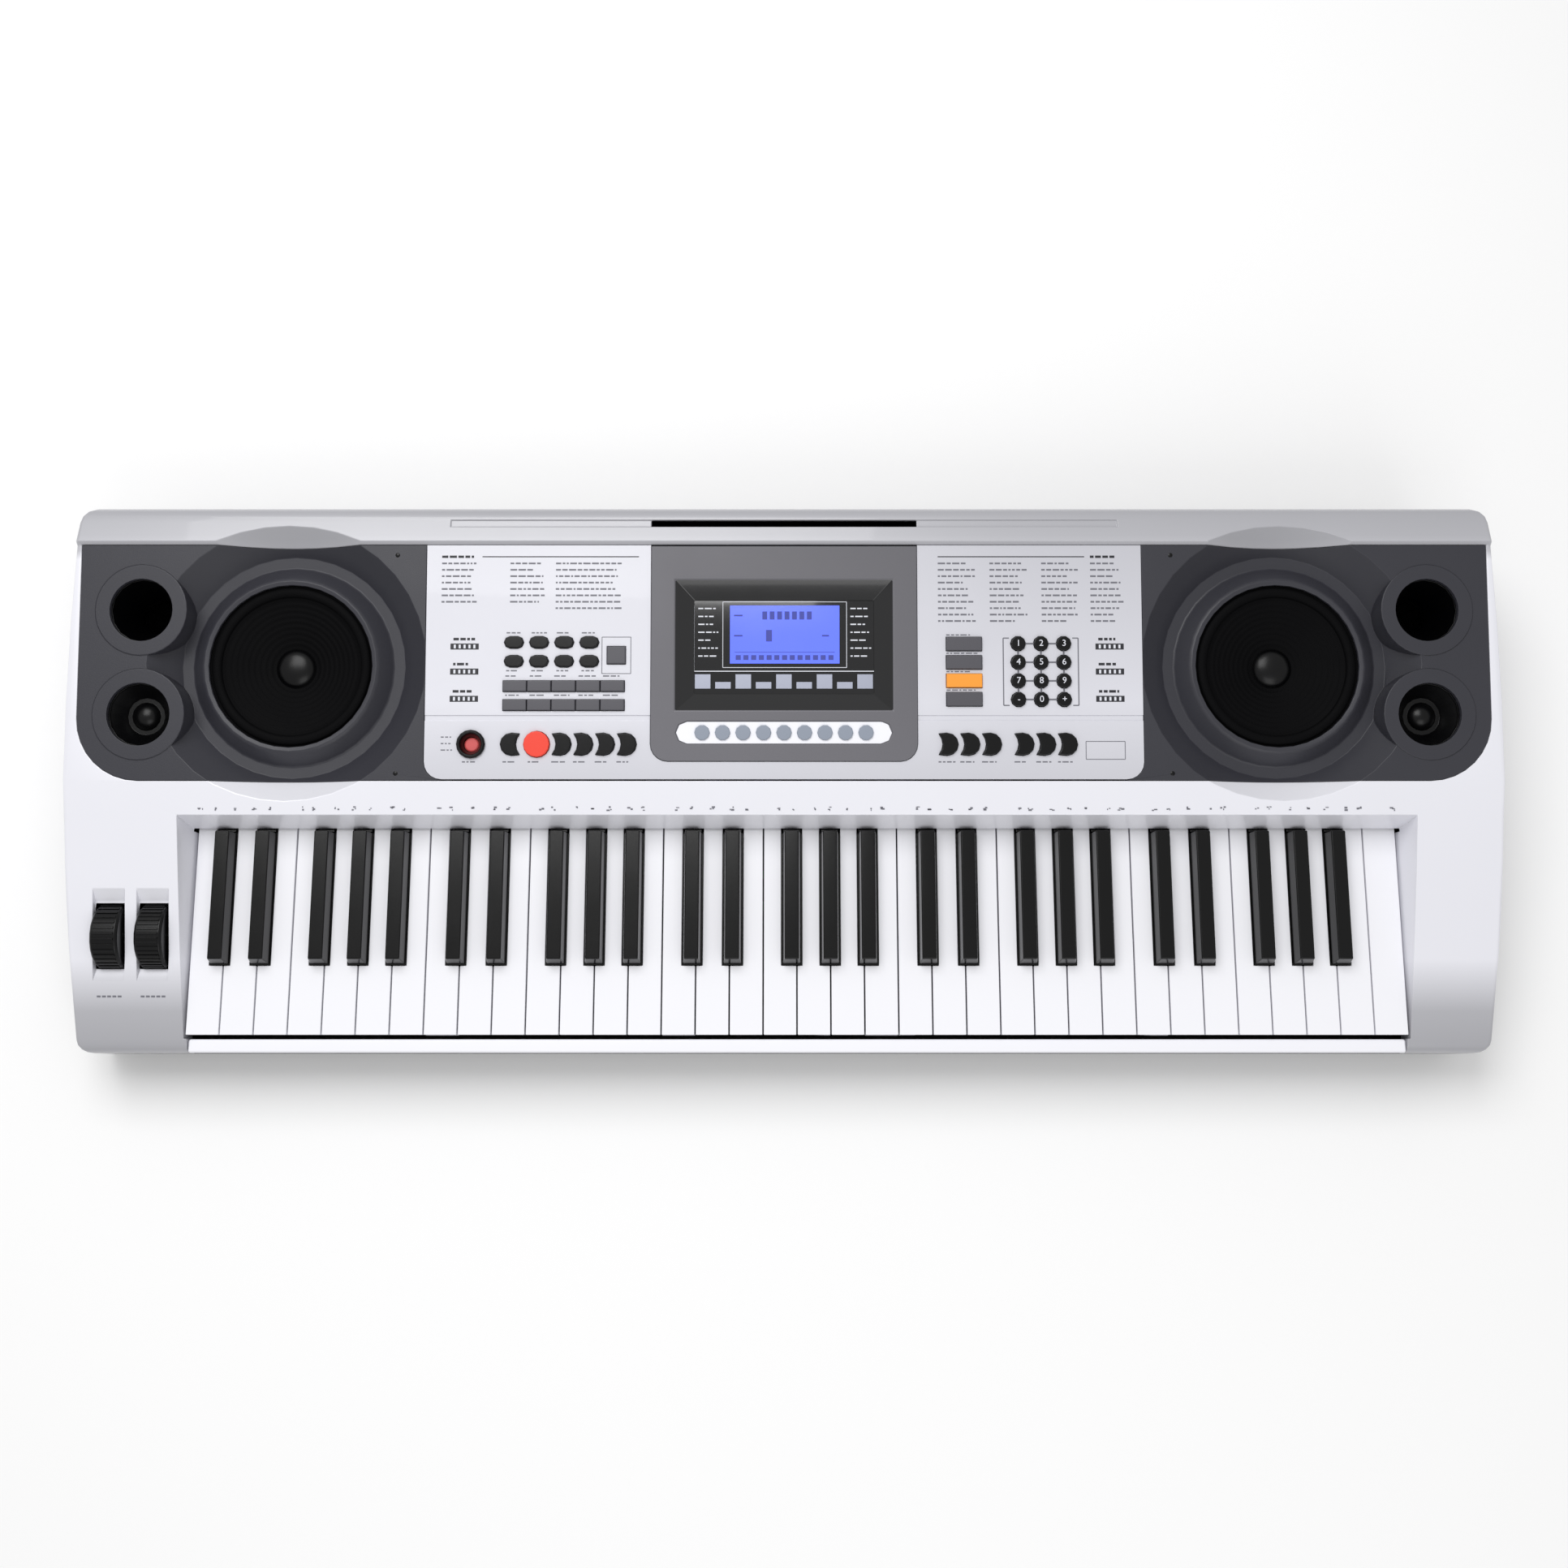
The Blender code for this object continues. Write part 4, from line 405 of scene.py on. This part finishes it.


# Painted shade on the silver case: darker at its front below Y -0.125 and at its rear behind Y 0.150,
# standing in for how the light falls on the gloss.
CASE_PAINTED_SHADE = [(-0.19, 0.44), (-0.16, 0.52), (-0.125, 0.96), (0.150, 1.0), (0.156, 0.62), (0.166, 0.52),
              (0.19, 0.46)]
# Painted shade on the control panel: darker towards its front and rear edges.
PANEL_PAINTED_SHADE = [(-0.004, 0.78), (0.05, 0.92), (0.16, 0.72)]
# Painted shade on the display bezel: darker towards its rear.
BEZEL_PAINTED_SHADE = [(0.01, 0.95), (0.16, 0.75)]
PANEL_LACQUER = finish("panel_lacquer", srgb(228, 228, 235), roughness=0.3, grain=2600, depth=0.015,
                       contrast=0.025, spread=0.05, metallic=0.1, coat=0.25, painted_shade=PANEL_PAINTED_SHADE)
BLUE_GREY = finish("blue_grey_cap", srgb(140, 148, 162), roughness=0.36, grain=1800, depth=0.04)
DULL_RED = finish("power_red", srgb(222, 92, 92), roughness=0.4, grain=1800, depth=0.04)
TAB_SILVER = finish("silver_tab", srgb(168, 172, 188), roughness=0.3, grain=1500, depth=0.01, metallic=0.3)
INK_GREY = ink("grey_print", srgb(112, 112, 120))
INK_BLACK = ink("black_print", srgb(38, 38, 44))
INK_WHITE = ink("white_print", srgb(222, 224, 232), contrast=0.04)
INK_NAVY = ink("display_segments", srgb(62, 70, 160))
INK_AMBER = ink("amber_print", srgb(196, 160, 70))
MATS = {
    "silver_shell": finish("silver_lacquer", srgb(238, 238, 244), roughness=0.32, grain=2600, depth=0.015,
                           contrast=0.02, spread=0.05, metallic=0.05, coat=0.25, painted_shade=CASE_PAINTED_SHADE),
    "white_rail": finish("white_moulding", srgb(244, 244, 250), roughness=0.3, grain=1500, depth=0.01,
                         contrast=0.015),
    "charcoal_plastic": finish("charcoal_moulding", srgb(52, 52, 56), roughness=0.6, grain=1400, depth=0.12,
                               contrast=0.08),
    "baffle_plastic": finish("baffle_moulding", srgb(56, 56, 62), roughness=0.4, grain=1800, depth=0.1,
                             contrast=0.12, spread=0.12, specular=0.4),
    "bezel_plastic": finish("bezel_moulding", srgb(108, 107, 112), roughness=0.42, grain=1900, depth=0.06,
                            metallic=0.15, painted_shade=BEZEL_PAINTED_SHADE),
    "paper_cone": finish("paper_cone", srgb(6, 6, 9), roughness=0.7, grain=1300, depth=0.3, contrast=0.2,
                         spread=0.1, specular=0.1),
    "black_plastic": finish("black_moulding", srgb(9, 9, 11), roughness=0.3, grain=1500, depth=0.04,
                            contrast=0.1, specular=0.3),
    "grey_buttons": finish("grey_button", srgb(80, 79, 85), roughness=0.42, grain=1800, depth=0.05),
    "orange_button": finish("orange_button", srgb(250, 158, 52), roughness=0.38, grain=1800, depth=0.04,
                            contrast=0.04),
    "red_button": finish("red_button", srgb(240, 66, 46), roughness=0.36, grain=1800, depth=0.04,
                         contrast=0.04),
    "key_white": finish("key_white", srgb(246, 246, 251), roughness=0.2, grain=500, depth=0.006,
                        contrast=0.012, spread=0.05, coat=0.4),
    "key_black": finish("key_black", srgb(4, 4, 5), roughness=0.2, grain=700, depth=0.015, contrast=0.12,
                        coat=0.1, specular=0.3),
    "smoked_lens": finish("smoked_lens", srgb(5, 6, 12), roughness=0.08, grain=300, depth=0.004,
                          contrast=0.15, spread=0.04, coat=0.6),
    "lcd_blue": backlit("lcd_backlight", srgb(92, 110, 240), strength=0.42),
    "circuit_board": finish("circuit_board", srgb(32, 96, 52), roughness=0.45, grain=600, depth=0.05,
                            contrast=0.12),
    "black_rubber": finish("black_rubber", srgb(34, 34, 35), roughness=0.85, grain=1200, depth=0.2,
                           contrast=0.12),
    "steel_pin": finish("ground_steel", srgb(190, 190, 192), roughness=0.28, grain=2400, depth=0.05,
                        spread=0.1, metallic=1.0),
}

for name, node in nodes.items():
    node.data.materials.clear()
    node.data.materials.append(MATS[SLOT_OF[name]])


# Making pieces


def dressed(obj, mat, body="case"):
    """Gives a finished piece its material and body."""
    obj.data.materials.clear()
    obj.data.materials.append(mat)
    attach(obj, body)
    return obj


def rounded(obj, radius, segments):
    """Rounds the object's sharp edges."""
    edge = obj.modifiers.new("rounded", "BEVEL")
    edge.width = radius
    edge.segments = segments
    edge.limit_method = "ANGLE"
    edge.angle_limit = EDGE_ANGLE
    edge.use_clamp_overlap = False
    bpy.ops.object.modifier_apply(modifier=edge.name)


def softened(node, radius, mat=None, segments=2):
    """The node's own form with its edges rounded as a moulding's are."""
    piece = linked("fine_" + node, nodes[node].data.copy())
    bpy.ops.object.mode_set(mode="EDIT")
    bpy.ops.mesh.select_all(action="SELECT")
    bpy.ops.mesh.remove_doubles(threshold=MERGE)
    bpy.ops.mesh.dissolve_limited(angle_limit=FLAT_ANGLE)
    bpy.ops.object.mode_set(mode="OBJECT")
    if radius:
        rounded(piece, radius, segments)
    bpy.ops.object.shade_smooth_by_angle(angle=SMOOTH_ANGLE)
    even = piece.modifiers.new("even_shading", "WEIGHTED_NORMAL")
    even.keep_sharp = True
    bpy.ops.object.modifier_apply(modifier=even.name)
    slot = SLOT_OF[node]
    dressed(piece, mat or MATS[slot], BODY_OF[node])
    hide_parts(node)
    return piece


def cuboids(name, blocks):
    """One object of many cuboids, each a (centre, turn, size)."""
    bpy.ops.object.select_all(action="DESELECT")
    bpy.ops.object.add(type="MESH")
    obj = bpy.context.object
    obj.name = name
    bpy.ops.object.mode_set(mode="EDIT")
    for centre, turn, size in blocks:
        bpy.ops.mesh.primitive_cube_add(size=1.0, calc_uvs=False, location=centre, rotation=turn, scale=size)
    bpy.ops.object.mode_set(mode="OBJECT")
    return obj


def printed(name, shapes, place, mat, thickness=INK):
    """Ink on a surface: each shape is (x, v, width, height), flat on the plane that place gives."""
    turn = place.to_euler()
    height = thickness / 2 + LIFT
    blocks = []
    for x, v, width, tall in shapes:
        blocks.append((place @ Vector((x, v, height)), turn, (width, tall, thickness)))
    return dressed(cuboids(name, blocks), mat)


def turned(name, outline, sides, place):
    """An outline of (radius, height) points spun about its axis, then put in place."""
    mesh = bpy.data.meshes.new(name)
    edges = [(i, i + 1) for i in range(len(outline) - 1)]
    mesh.from_pydata([(radius, 0, height) for radius, height in outline], edges, [])
    obj = linked(name, mesh)
    spin = obj.modifiers.new("spin", "SCREW")
    spin.steps = sides
    spin.render_steps = sides
    spin.use_merge_vertices = True
    spin.merge_threshold = MERGE
    bpy.ops.object.modifier_apply(modifier=spin.name)
    bpy.ops.object.mode_set(mode="EDIT")
    bpy.ops.mesh.select_all(action="SELECT")
    bpy.ops.mesh.remove_doubles(threshold=SEAM_MERGE)
    bpy.ops.mesh.normals_make_consistent(inside=False)
    bpy.ops.object.mode_set(mode="OBJECT")
    bpy.ops.object.shade_smooth_by_angle(angle=TURNED_ANGLE)
    obj.data.transform(place)
    return obj


def on_panel(x=0.0, v=0.0, h=0.0):
    """A place on the panel plane."""
    return PANEL @ Matrix.Translation((x, v, h))


# Case


def case():
    """Shell, panel and the small fittings in them."""
    softened("upper_case", CASE_EDGE)
    softened("lower_case", CASE_EDGE)
    softened("front_rail", RAIL_EDGE, segments=3)
    softened("control_panel", PANEL_EDGE, PANEL_LACQUER)
    bezel()
    softened("battery_door", DOOR_EDGE)
    softened("music_rest_socket", 0.0)
    for name in ("foot_front_left", "foot_front_right", "foot_rear_left", "foot_rear_right"):
        softened(name, FOOT_EDGE)
    for name in ("dc_inlet", "headphone_jack", "power_collar"):
        softened(name, FITTING_EDGE)


def bezel():
    """Bezel whose sunk window's walls take the lens's dark glossy finish, painted shade for the deep window.
    """
    piece = softened("display_bezel", CASE_EDGE)
    piece.data.materials.append(MATS["smoked_lens"])
    to_panel = PANEL.inverted()
    # Painted shade: the faces of the window's walls get the near-black lens finish.
    for face in piece.data.polygons:
        x, v, h = to_panel @ face.center
        if abs(x) < WINDOW_HALF and WINDOW_LOW < v < WINDOW_HIGH and h < WINDOW_WALL_TOP:
            face.material_index = 1


# Wheels


def cheek_z(y):
    """Height of the cheek's gently crowned top at this depth."""
    share = (y - CHEEK_FRONT[0]) / (CHEEK_REAR[0] - CHEEK_FRONT[0])
    rise = (CHEEK_REAR[1] - CHEEK_FRONT[1]) * share
    return CHEEK_FRONT[1] + rise + 4 * CHEEK_CROWN * share * (1 - share)


def wheel_ribs(name, count, centre, radius, width):
    """Ribs across a thumb wheel's rim."""
    blocks = []
    for i in range(count):
        turn = Matrix.Rotation(2 * pi * i / count, 4, "X")
        spot = centre + turn @ Vector((0, 0, radius))
        blocks.append((spot, turn.to_euler(), (width, RIB_WIDTH, RIB_HEIGHT)))
    ribs = cuboids(name + "_ribs", blocks)
    rounded(ribs, RIB_EDGE, segments=2)
    dressed(ribs, MATS["black_plastic"], name)


def wheels():
    """Ribbed thumb wheels, each with a small mark in front of it."""
    for name, count in WHEEL_RIBS.items():
        softened(name, WHEEL_EDGE)
        low, high = (Vector(corner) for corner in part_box(name))
        centre = (low + high) / 2
        wheel_ribs(name, count, centre, (high.z - low.z) / 2, high.x - low.x - 2 * RIM_LAND)
        spot = (centre.x, WHEEL_LABEL_Y, cheek_z(WHEEL_LABEL_Y))
        place = Matrix.Translation(spot) @ Matrix.Rotation(WHEEL_LABEL_TILT, 4, "X")
        dashes = [(WHEEL_DASH_LEFT + WHEEL_DASH_PITCH * i, 0, *WHEEL_DASH) for i in range(5)]
        printed(name + "_label", dashes, place, INK_GREY)


# Keys


def keys():
    """Naturals and sharps with rounded edges, set by set."""
    for octave in range(1, OCTAVES + 1):
        softened("naturals_cegb_%d" % octave, NATURAL_EDGE, segments=3)
        softened("naturals_dfa_%d" % octave, NATURAL_EDGE, segments=3)
        softened("sharps_%d" % octave, SHARP_EDGE, segments=3)
    softened("natural_top_c", NATURAL_EDGE, segments=3)


def key_marks():
    """A small plain mark on the apron behind each key."""
    random.seed(7)
    places = [KEY_LEFT + OCTAVES * OCTAVE + NATURAL_PITCH / 2]
    for octave in range(OCTAVES):
        left = KEY_LEFT + octave * OCTAVE
        places += [left + (i + 0.5) * NATURAL_PITCH for i in range(7)]
        places += [left + x for x in SHARPS]
    shapes = []
    for x in sorted(places):
        for _ in range(random.choice((2, 3, 3))):
            shapes.append((x + random.uniform(-MARK_DRIFT_X, MARK_DRIFT_X),
                           random.uniform(-MARK_DRIFT_V, MARK_DRIFT_V),
                           random.uniform(*MARK_WIDTHS), random.uniform(*MARK_HEIGHTS)))
    place = Matrix.Translation(APRON_PLACE) @ Matrix.Rotation(APRON_TILT, 4, "X")
    printed("key_marks", shapes, place, INK_GREY)


# Speakers


def cone_outline():
    """Pressed paper cone, rising outwards in shallow ribs."""
    points = []
    steps = CONE_RIBS * 4
    for i in range(steps + 1):
        share = i / steps
        rib = CONE_RIB_HEIGHT * cos(share * CONE_RIBS * 2 * pi)
        points.append((CONE_INNER + (CONE_OUTER - CONE_INNER) * share,
                       CONE_FOOT + CONE_RISE * share ** CONE_CURVE + rib))
    return points


def surround_outline():
    """Half roll of rubber round the cone."""
    middle = CONE_OUTER + SURROUND_GAP + SURROUND_ROLL
    return [(middle - SURROUND_ROLL * cos(pi * i / 8),
             SURROUND_FOOT + SURROUND_ROLL * SURROUND_FLATNESS * sin(pi * i / 8)) for i in range(9)]


def woofer(name, side):
    """Rubber surround, ribbed paper cone, basket, and a dust cap that shines a little."""
    place = on_panel(side * WOOFER_X, WOOFER_V)
    outline = DUST_CAP_OUTLINE + cone_outline() + surround_outline() + BASKET_OUTLINE
    piece = turned("fine_" + name, outline, 96, place)
    dressed(piece, MATS["paper_cone"], "case")
    piece.data.materials.append(MATS["black_plastic"])
    to_axis = place.inverted()
    for face in piece.data.polygons:
        spot = to_axis @ face.center
        if spot.xy.length < DUST_CAP_RADIUS and spot.z > DUST_CAP_DEPTH:
            face.material_index = 1
    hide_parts(name)


def speakers():
    """Both sides' baffle, woofer, tweeter, port and screws."""
    for name, side in (("left", -1), ("right", 1)):
        softened(name + "_baffle", BAFFLE_EDGE)
        woofer(name + "_woofer", side)
        softened(name + "_tweeter", FITTING_EDGE)
        softened(name + "_port_tube", FITTING_EDGE)
        for number, (x, v) in enumerate(SCREW_PLACES, 1):
            screw = turned("%s_baffle_screw_%d" % (name, number), SCREW_OUTLINE, 20, on_panel(side * x, v))
            dressed(screw, MATS["black_plastic"], "case")


# Buttons


def digit(name, text, place):
    """A plain number or sign, flat on a keypad cap."""
    bpy.ops.object.select_all(action="DESELECT")
    bpy.ops.object.text_add()
    label = bpy.context.object
    label.data.body = text
    label.data.size = DIGIT_SIZE
    label.data.extrude = INK / 2
    label.data.align_x = "CENTER"
    label.data.align_y = "CENTER"
    bpy.ops.object.convert(target="MESH")
    label = bpy.context.object
    label.name = name
    label.data.transform(place)
    return dressed(label, INK_WHITE, "keypad_buttons")


def buttons():
    """Button caps with rounded edges, and the keypad's numbers."""
    for name in ("oval_buttons", "bar_buttons", "value_rocker", "start_button", "left_crescent_buttons",
                 "right_crescent_buttons", "function_buttons", "accent_button", "keypad_buttons"):
        softened(name, CAP_EDGE)
    softened("power_button", CAP_EDGE, DULL_RED)
    softened("display_buttons", CAP_EDGE, BLUE_GREY)
    for j, row in enumerate(KEYPAD_ROWS):
        for i, text in enumerate(row):
            x = KEYPAD_FOOT[0] + KEYPAD_PITCH[0] * i
            v = KEYPAD_FOOT[1] + KEYPAD_PITCH[1] * j
            digit("keypad_%d_%d" % (j, i), text, on_panel(x, v, CAP_TOP + INK / 2 + LIFT))


# Prints


def text_rows(left, right, top, height, rows=1, pitch=0.0):
    """Rows of dashes in place of printed words, each row ending where chance has it."""
    shapes = []
    for row in range(rows):
        x = left
        limit = right - random.uniform(0, RAGGED) * (right - left)
        while x < limit - DASH_GAP:
            width = min(random.uniform(*DASH_WIDTHS), limit - x)
            shapes.append((x + width / 2, top - row * pitch, width, height))
            x += width + DASH_GAP
    return shapes


def box_lines(left, right, low, high, line):
    """The four lines of a printed box."""
    middle_x = (left + right) / 2
    middle_v = (low + high) / 2
    return [(middle_x, low, right - left, line), (middle_x, high, right - left, line),
            (left, middle_v, line, high - low), (right, middle_v, line, high - low)]


def printed_lists():
    """Columns of small print over the buttons."""
    shapes = []
    for left, right, rows in LIST_COLUMNS:
        shapes += text_rows(left, right, LIST_V, LIST_PRINT, rows, LIST_PITCH)
    printed("printed_lists", shapes, on_panel(), INK_GREY)


def printed_headings():
    """Headings of the lists, and the label blocks with their dark bars and light windows."""
    dark = []
    for left, right in HEADINGS:
        dark += text_rows(left, right, HEADING_V, HEADING_PRINT)
    dark += [(x, HEADING_V, width, HEADING_LINE) for x, width in HEADING_LINES]
    light = []
    for left in BLOCK_LEFTS:
        for v in BLOCK_ROWS:
            bar_v = v - BLOCK_BAR_DROP
            dark += text_rows(left + BLOCK_HEADING[0], left + BLOCK_HEADING[1], v + BLOCK_HEADING_RISE,
                              BLOCK_PRINT)
            dark += [(left + BLOCK_BAR[0] / 2, bar_v, *BLOCK_BAR)]
            first = left + BLOCK_WINDOW_LEFT
            light += [(first + BLOCK_WINDOW_PITCH * i, bar_v, *BLOCK_WINDOW) for i in range(BLOCK_WINDOWS)]
    printed("printed_labels", dark, on_panel(), INK_BLACK)
    printed("label_windows", light, on_panel(h=INK), INK_WHITE)


def button_labels():
    """Small print beside the buttons."""
    shapes = []
    for i in range(4):
        left = OVAL_LABELS[0] + OVAL_PITCH * i
        for v in OVAL_LABEL_ROWS:
            shapes += text_rows(left, left + OVAL_LABELS[1], v, SMALL_PRINT)
    for i in range(5):
        left = BAR_LABELS[0] + BAR_PITCH * i
        for v in BAR_LABEL_ROWS:
            shapes += text_rows(left, left + BAR_LABELS[1], v, SMALL_PRINT)
    for x in ROUND_BUTTONS:
        shapes += text_rows(x - ROUND_LABEL_HALF, x + ROUND_LABEL_HALF, ROUND_LABEL_V, SMALL_PRINT)
    shapes += text_rows(*POWER_LABEL, FINE_PRINT, 3, LIST_PITCH)
    for row in range(4):
        v = FUNCTION_FOOT + FUNCTION_PITCH * row + FUNCTION_LABEL_RISE
        shapes += text_rows(*FUNCTION_LABEL, v, FINE_PRINT)
    printed("button_labels", shapes, on_panel(), INK_GREY)


def panel_lines():
    """Box round the rocker, brackets and links of the keypad, and the empty box at the right."""
    shapes = box_lines(*ROCKER_BOX, PRINTED_LINE)
    shapes += [(x, BRACKET_V, BRACKET_LINE, BRACKET_HEIGHT) for x in BRACKETS]
    shapes += [(x, v, BRACKET_TIP, BRACKET_LINE) for v in BRACKET_TIP_ROWS for x in BRACKET_TIPS]
    for j in range(4):
        shapes.append((LINK_MIDDLE[0], KEYPAD_FOOT[1] + KEYPAD_PITCH[1] * j, LINK_LENGTHS[0], LINK_LINE))
    for i in range(3):
        shapes.append((KEYPAD_FOOT[0] + KEYPAD_PITCH[0] * i, LINK_MIDDLE[1], LINK_LINE, LINK_LENGTHS[1]))
    shapes += box_lines(*EMPTY_BOX, PRINTED_LINE)
    printed("panel_lines", shapes, on_panel(), INK_GREY)


def panel_prints():
    """All print on the control panel."""
    random.seed(3)
    printed_lists()
    printed_headings()
    button_labels()
    panel_lines()


# Display


def screen(lens):
    """Lit screen with plain segments."""
    face = [(SCREEN_X, SCREEN_V, SCREEN_WIDTH, SCREEN_HEIGHT)]
    printed("lcd_face", face, lens, MATS["lcd_blue"], thickness=SCREEN_RISE)
    top_row = 0.1165
    middle_row = 0.1022
    beat_row = 0.0868
    marks = [(-0.0135 + 0.0052 * i, top_row, 0.0034, 0.0058) for i in range(7)]
    marks += [(-0.0105, middle_row, 0.0042, 0.0082)]
    marks += [(-0.0320 + 0.0054 * i, beat_row, 0.0036, 0.0034) for i in range(13)]
    marks += [(SCREEN_X, beat_row + 0.0038, 0.0700, 0.0004)]
    marks += [(-0.0320, v, 0.0060, 0.0012) for v in (top_row, middle_row)]
    marks += [(0.0290, middle_row, 0.0050, 0.0012)]
    printed("lcd_segments", marks, on_panel(h=LENS_TOP + SCREEN_RISE), INK_NAVY)


def lens_print(lens):
    """Frame lines, side lists, a heading and the row of silver tabs on the lens."""
    lines = box_lines(*SCREEN_BOX, 0.0004)
    lines += [(SCREEN_X, 0.0772, 0.1262, LENS_LINE)]
    lines += [(x, 0.1005, LENS_LINE, 0.0460) for x in (-0.0630, 0.0640)]
    for left, right in LENS_LISTS:
        lines += text_rows(left, right, 0.1215, SMALL_PRINT, 7, 0.0056)
    printed("lens_lines", lines, lens, INK_WHITE)
    printed("lens_title", text_rows(*LENS_HEADING, 0.0011), lens, INK_AMBER)
    tabs = []
    for i in range(9):
        tall = TAB_HEIGHTS[i % 2]
        tabs.append((TAB_LEFT + TAB_PITCH * i, TAB_FOOT + tall / 2, TAB_WIDTH, tall))
    printed("lens_tabs", tabs, lens, TAB_SILVER)


def pill():
    """White field with round ends under the display's buttons."""
    v = 0.0330
    radius = 0.0074
    half = 0.0670
    floor = BEZEL_TOP - 0.0008
    printed("pill_field", [(0.0, v, 2 * half, 0.0150)], on_panel(h=floor), MATS["white_rail"])
    cap = [(0, 0.00006), (radius, 0.00006), (radius, 0.00001), (0, 0.00001)]
    for side in (-1, 1):
        end = turned("pill_end_%d" % (side + 1), cap, 40, on_panel(side * half, v, floor))
        dressed(end, MATS["white_rail"])


def display():
    """Lens with the lit screen, its print, and the white field below."""
    random.seed(11)
    softened("display_lens", LENS_EDGE)
    lens = on_panel(h=LENS_TOP)
    screen(lens)
    lens_print(lens)
    pill()


def inner_pieces():
    """Pieces behind the covers that a gap shows keep their edges, with even shading."""
    for name in ("key_chassis", "wheel_bracket", "wheel_axle"):
        softened(name, 0.0)


# Stage


def floor():
    """Plain pale floor."""
    bpy.ops.object.select_all(action="DESELECT")
    bpy.ops.mesh.primitive_plane_add(size=FLOOR_SIZE, location=(0, 0, 0))
    ground = bpy.context.object
    ground.name = "floor"
    mat = bpy.data.materials.new("pale_floor")
    mat.use_nodes = True
    shader = mat.node_tree.nodes["Principled BSDF"]
    shader.inputs["Base Color"].default_value = (0.97, 0.97, 0.97, 1)
    shader.inputs["Roughness"].default_value = 0.9
    ground.data.materials.append(mat)


def world():
    """Even white surroundings."""
    studio = bpy.data.worlds.new("studio")
    bpy.context.scene.world = studio
    studio.use_nodes = True
    background = studio.node_tree.nodes["Background"]
    background.inputs["Color"].default_value = (1, 1, 1, 1)
    background.inputs["Strength"].default_value = WORLD_STRENGTH


def lamp(name, place, turn, size, power):
    """A square soft lamp."""
    light = bpy.data.lights.new(name, "AREA")
    light.energy = power
    light.size = size
    obj = bpy.data.objects.new(name, light)
    obj.location = place
    obj.rotation_euler = turn
    bpy.context.scene.collection.objects.link(obj)


def camera():
    """Camera in front of the middle of the keyboard, looking down on it."""
    lens = bpy.data.cameras.new("camera")
    lens.lens = CAMERA_LENS
    lens.sensor_width = 36.0
    lens.clip_start = 0.05
    eye = bpy.data.objects.new("camera", lens)
    eye.location = CAMERA_PLACE
    eye.rotation_euler = (CAMERA_TILT, 0, 0)
    bpy.context.scene.collection.objects.link(eye)
    bpy.context.scene.camera = eye


case()
wheels()
keys()
key_marks()
speakers()
buttons()
panel_prints()
display()
inner_pieces()
floor()
world()
lamp("key_light", (-0.5, 0.9, 1.9), (radians(-24), radians(-14), 0), size=1.3, power=24.0)
lamp("front_light", (0.4, -1.6, 1.5), (radians(48), 0, 0), size=1.4, power=9.0)
camera()
bpy.context.scene.view_settings.view_transform = "Standard"
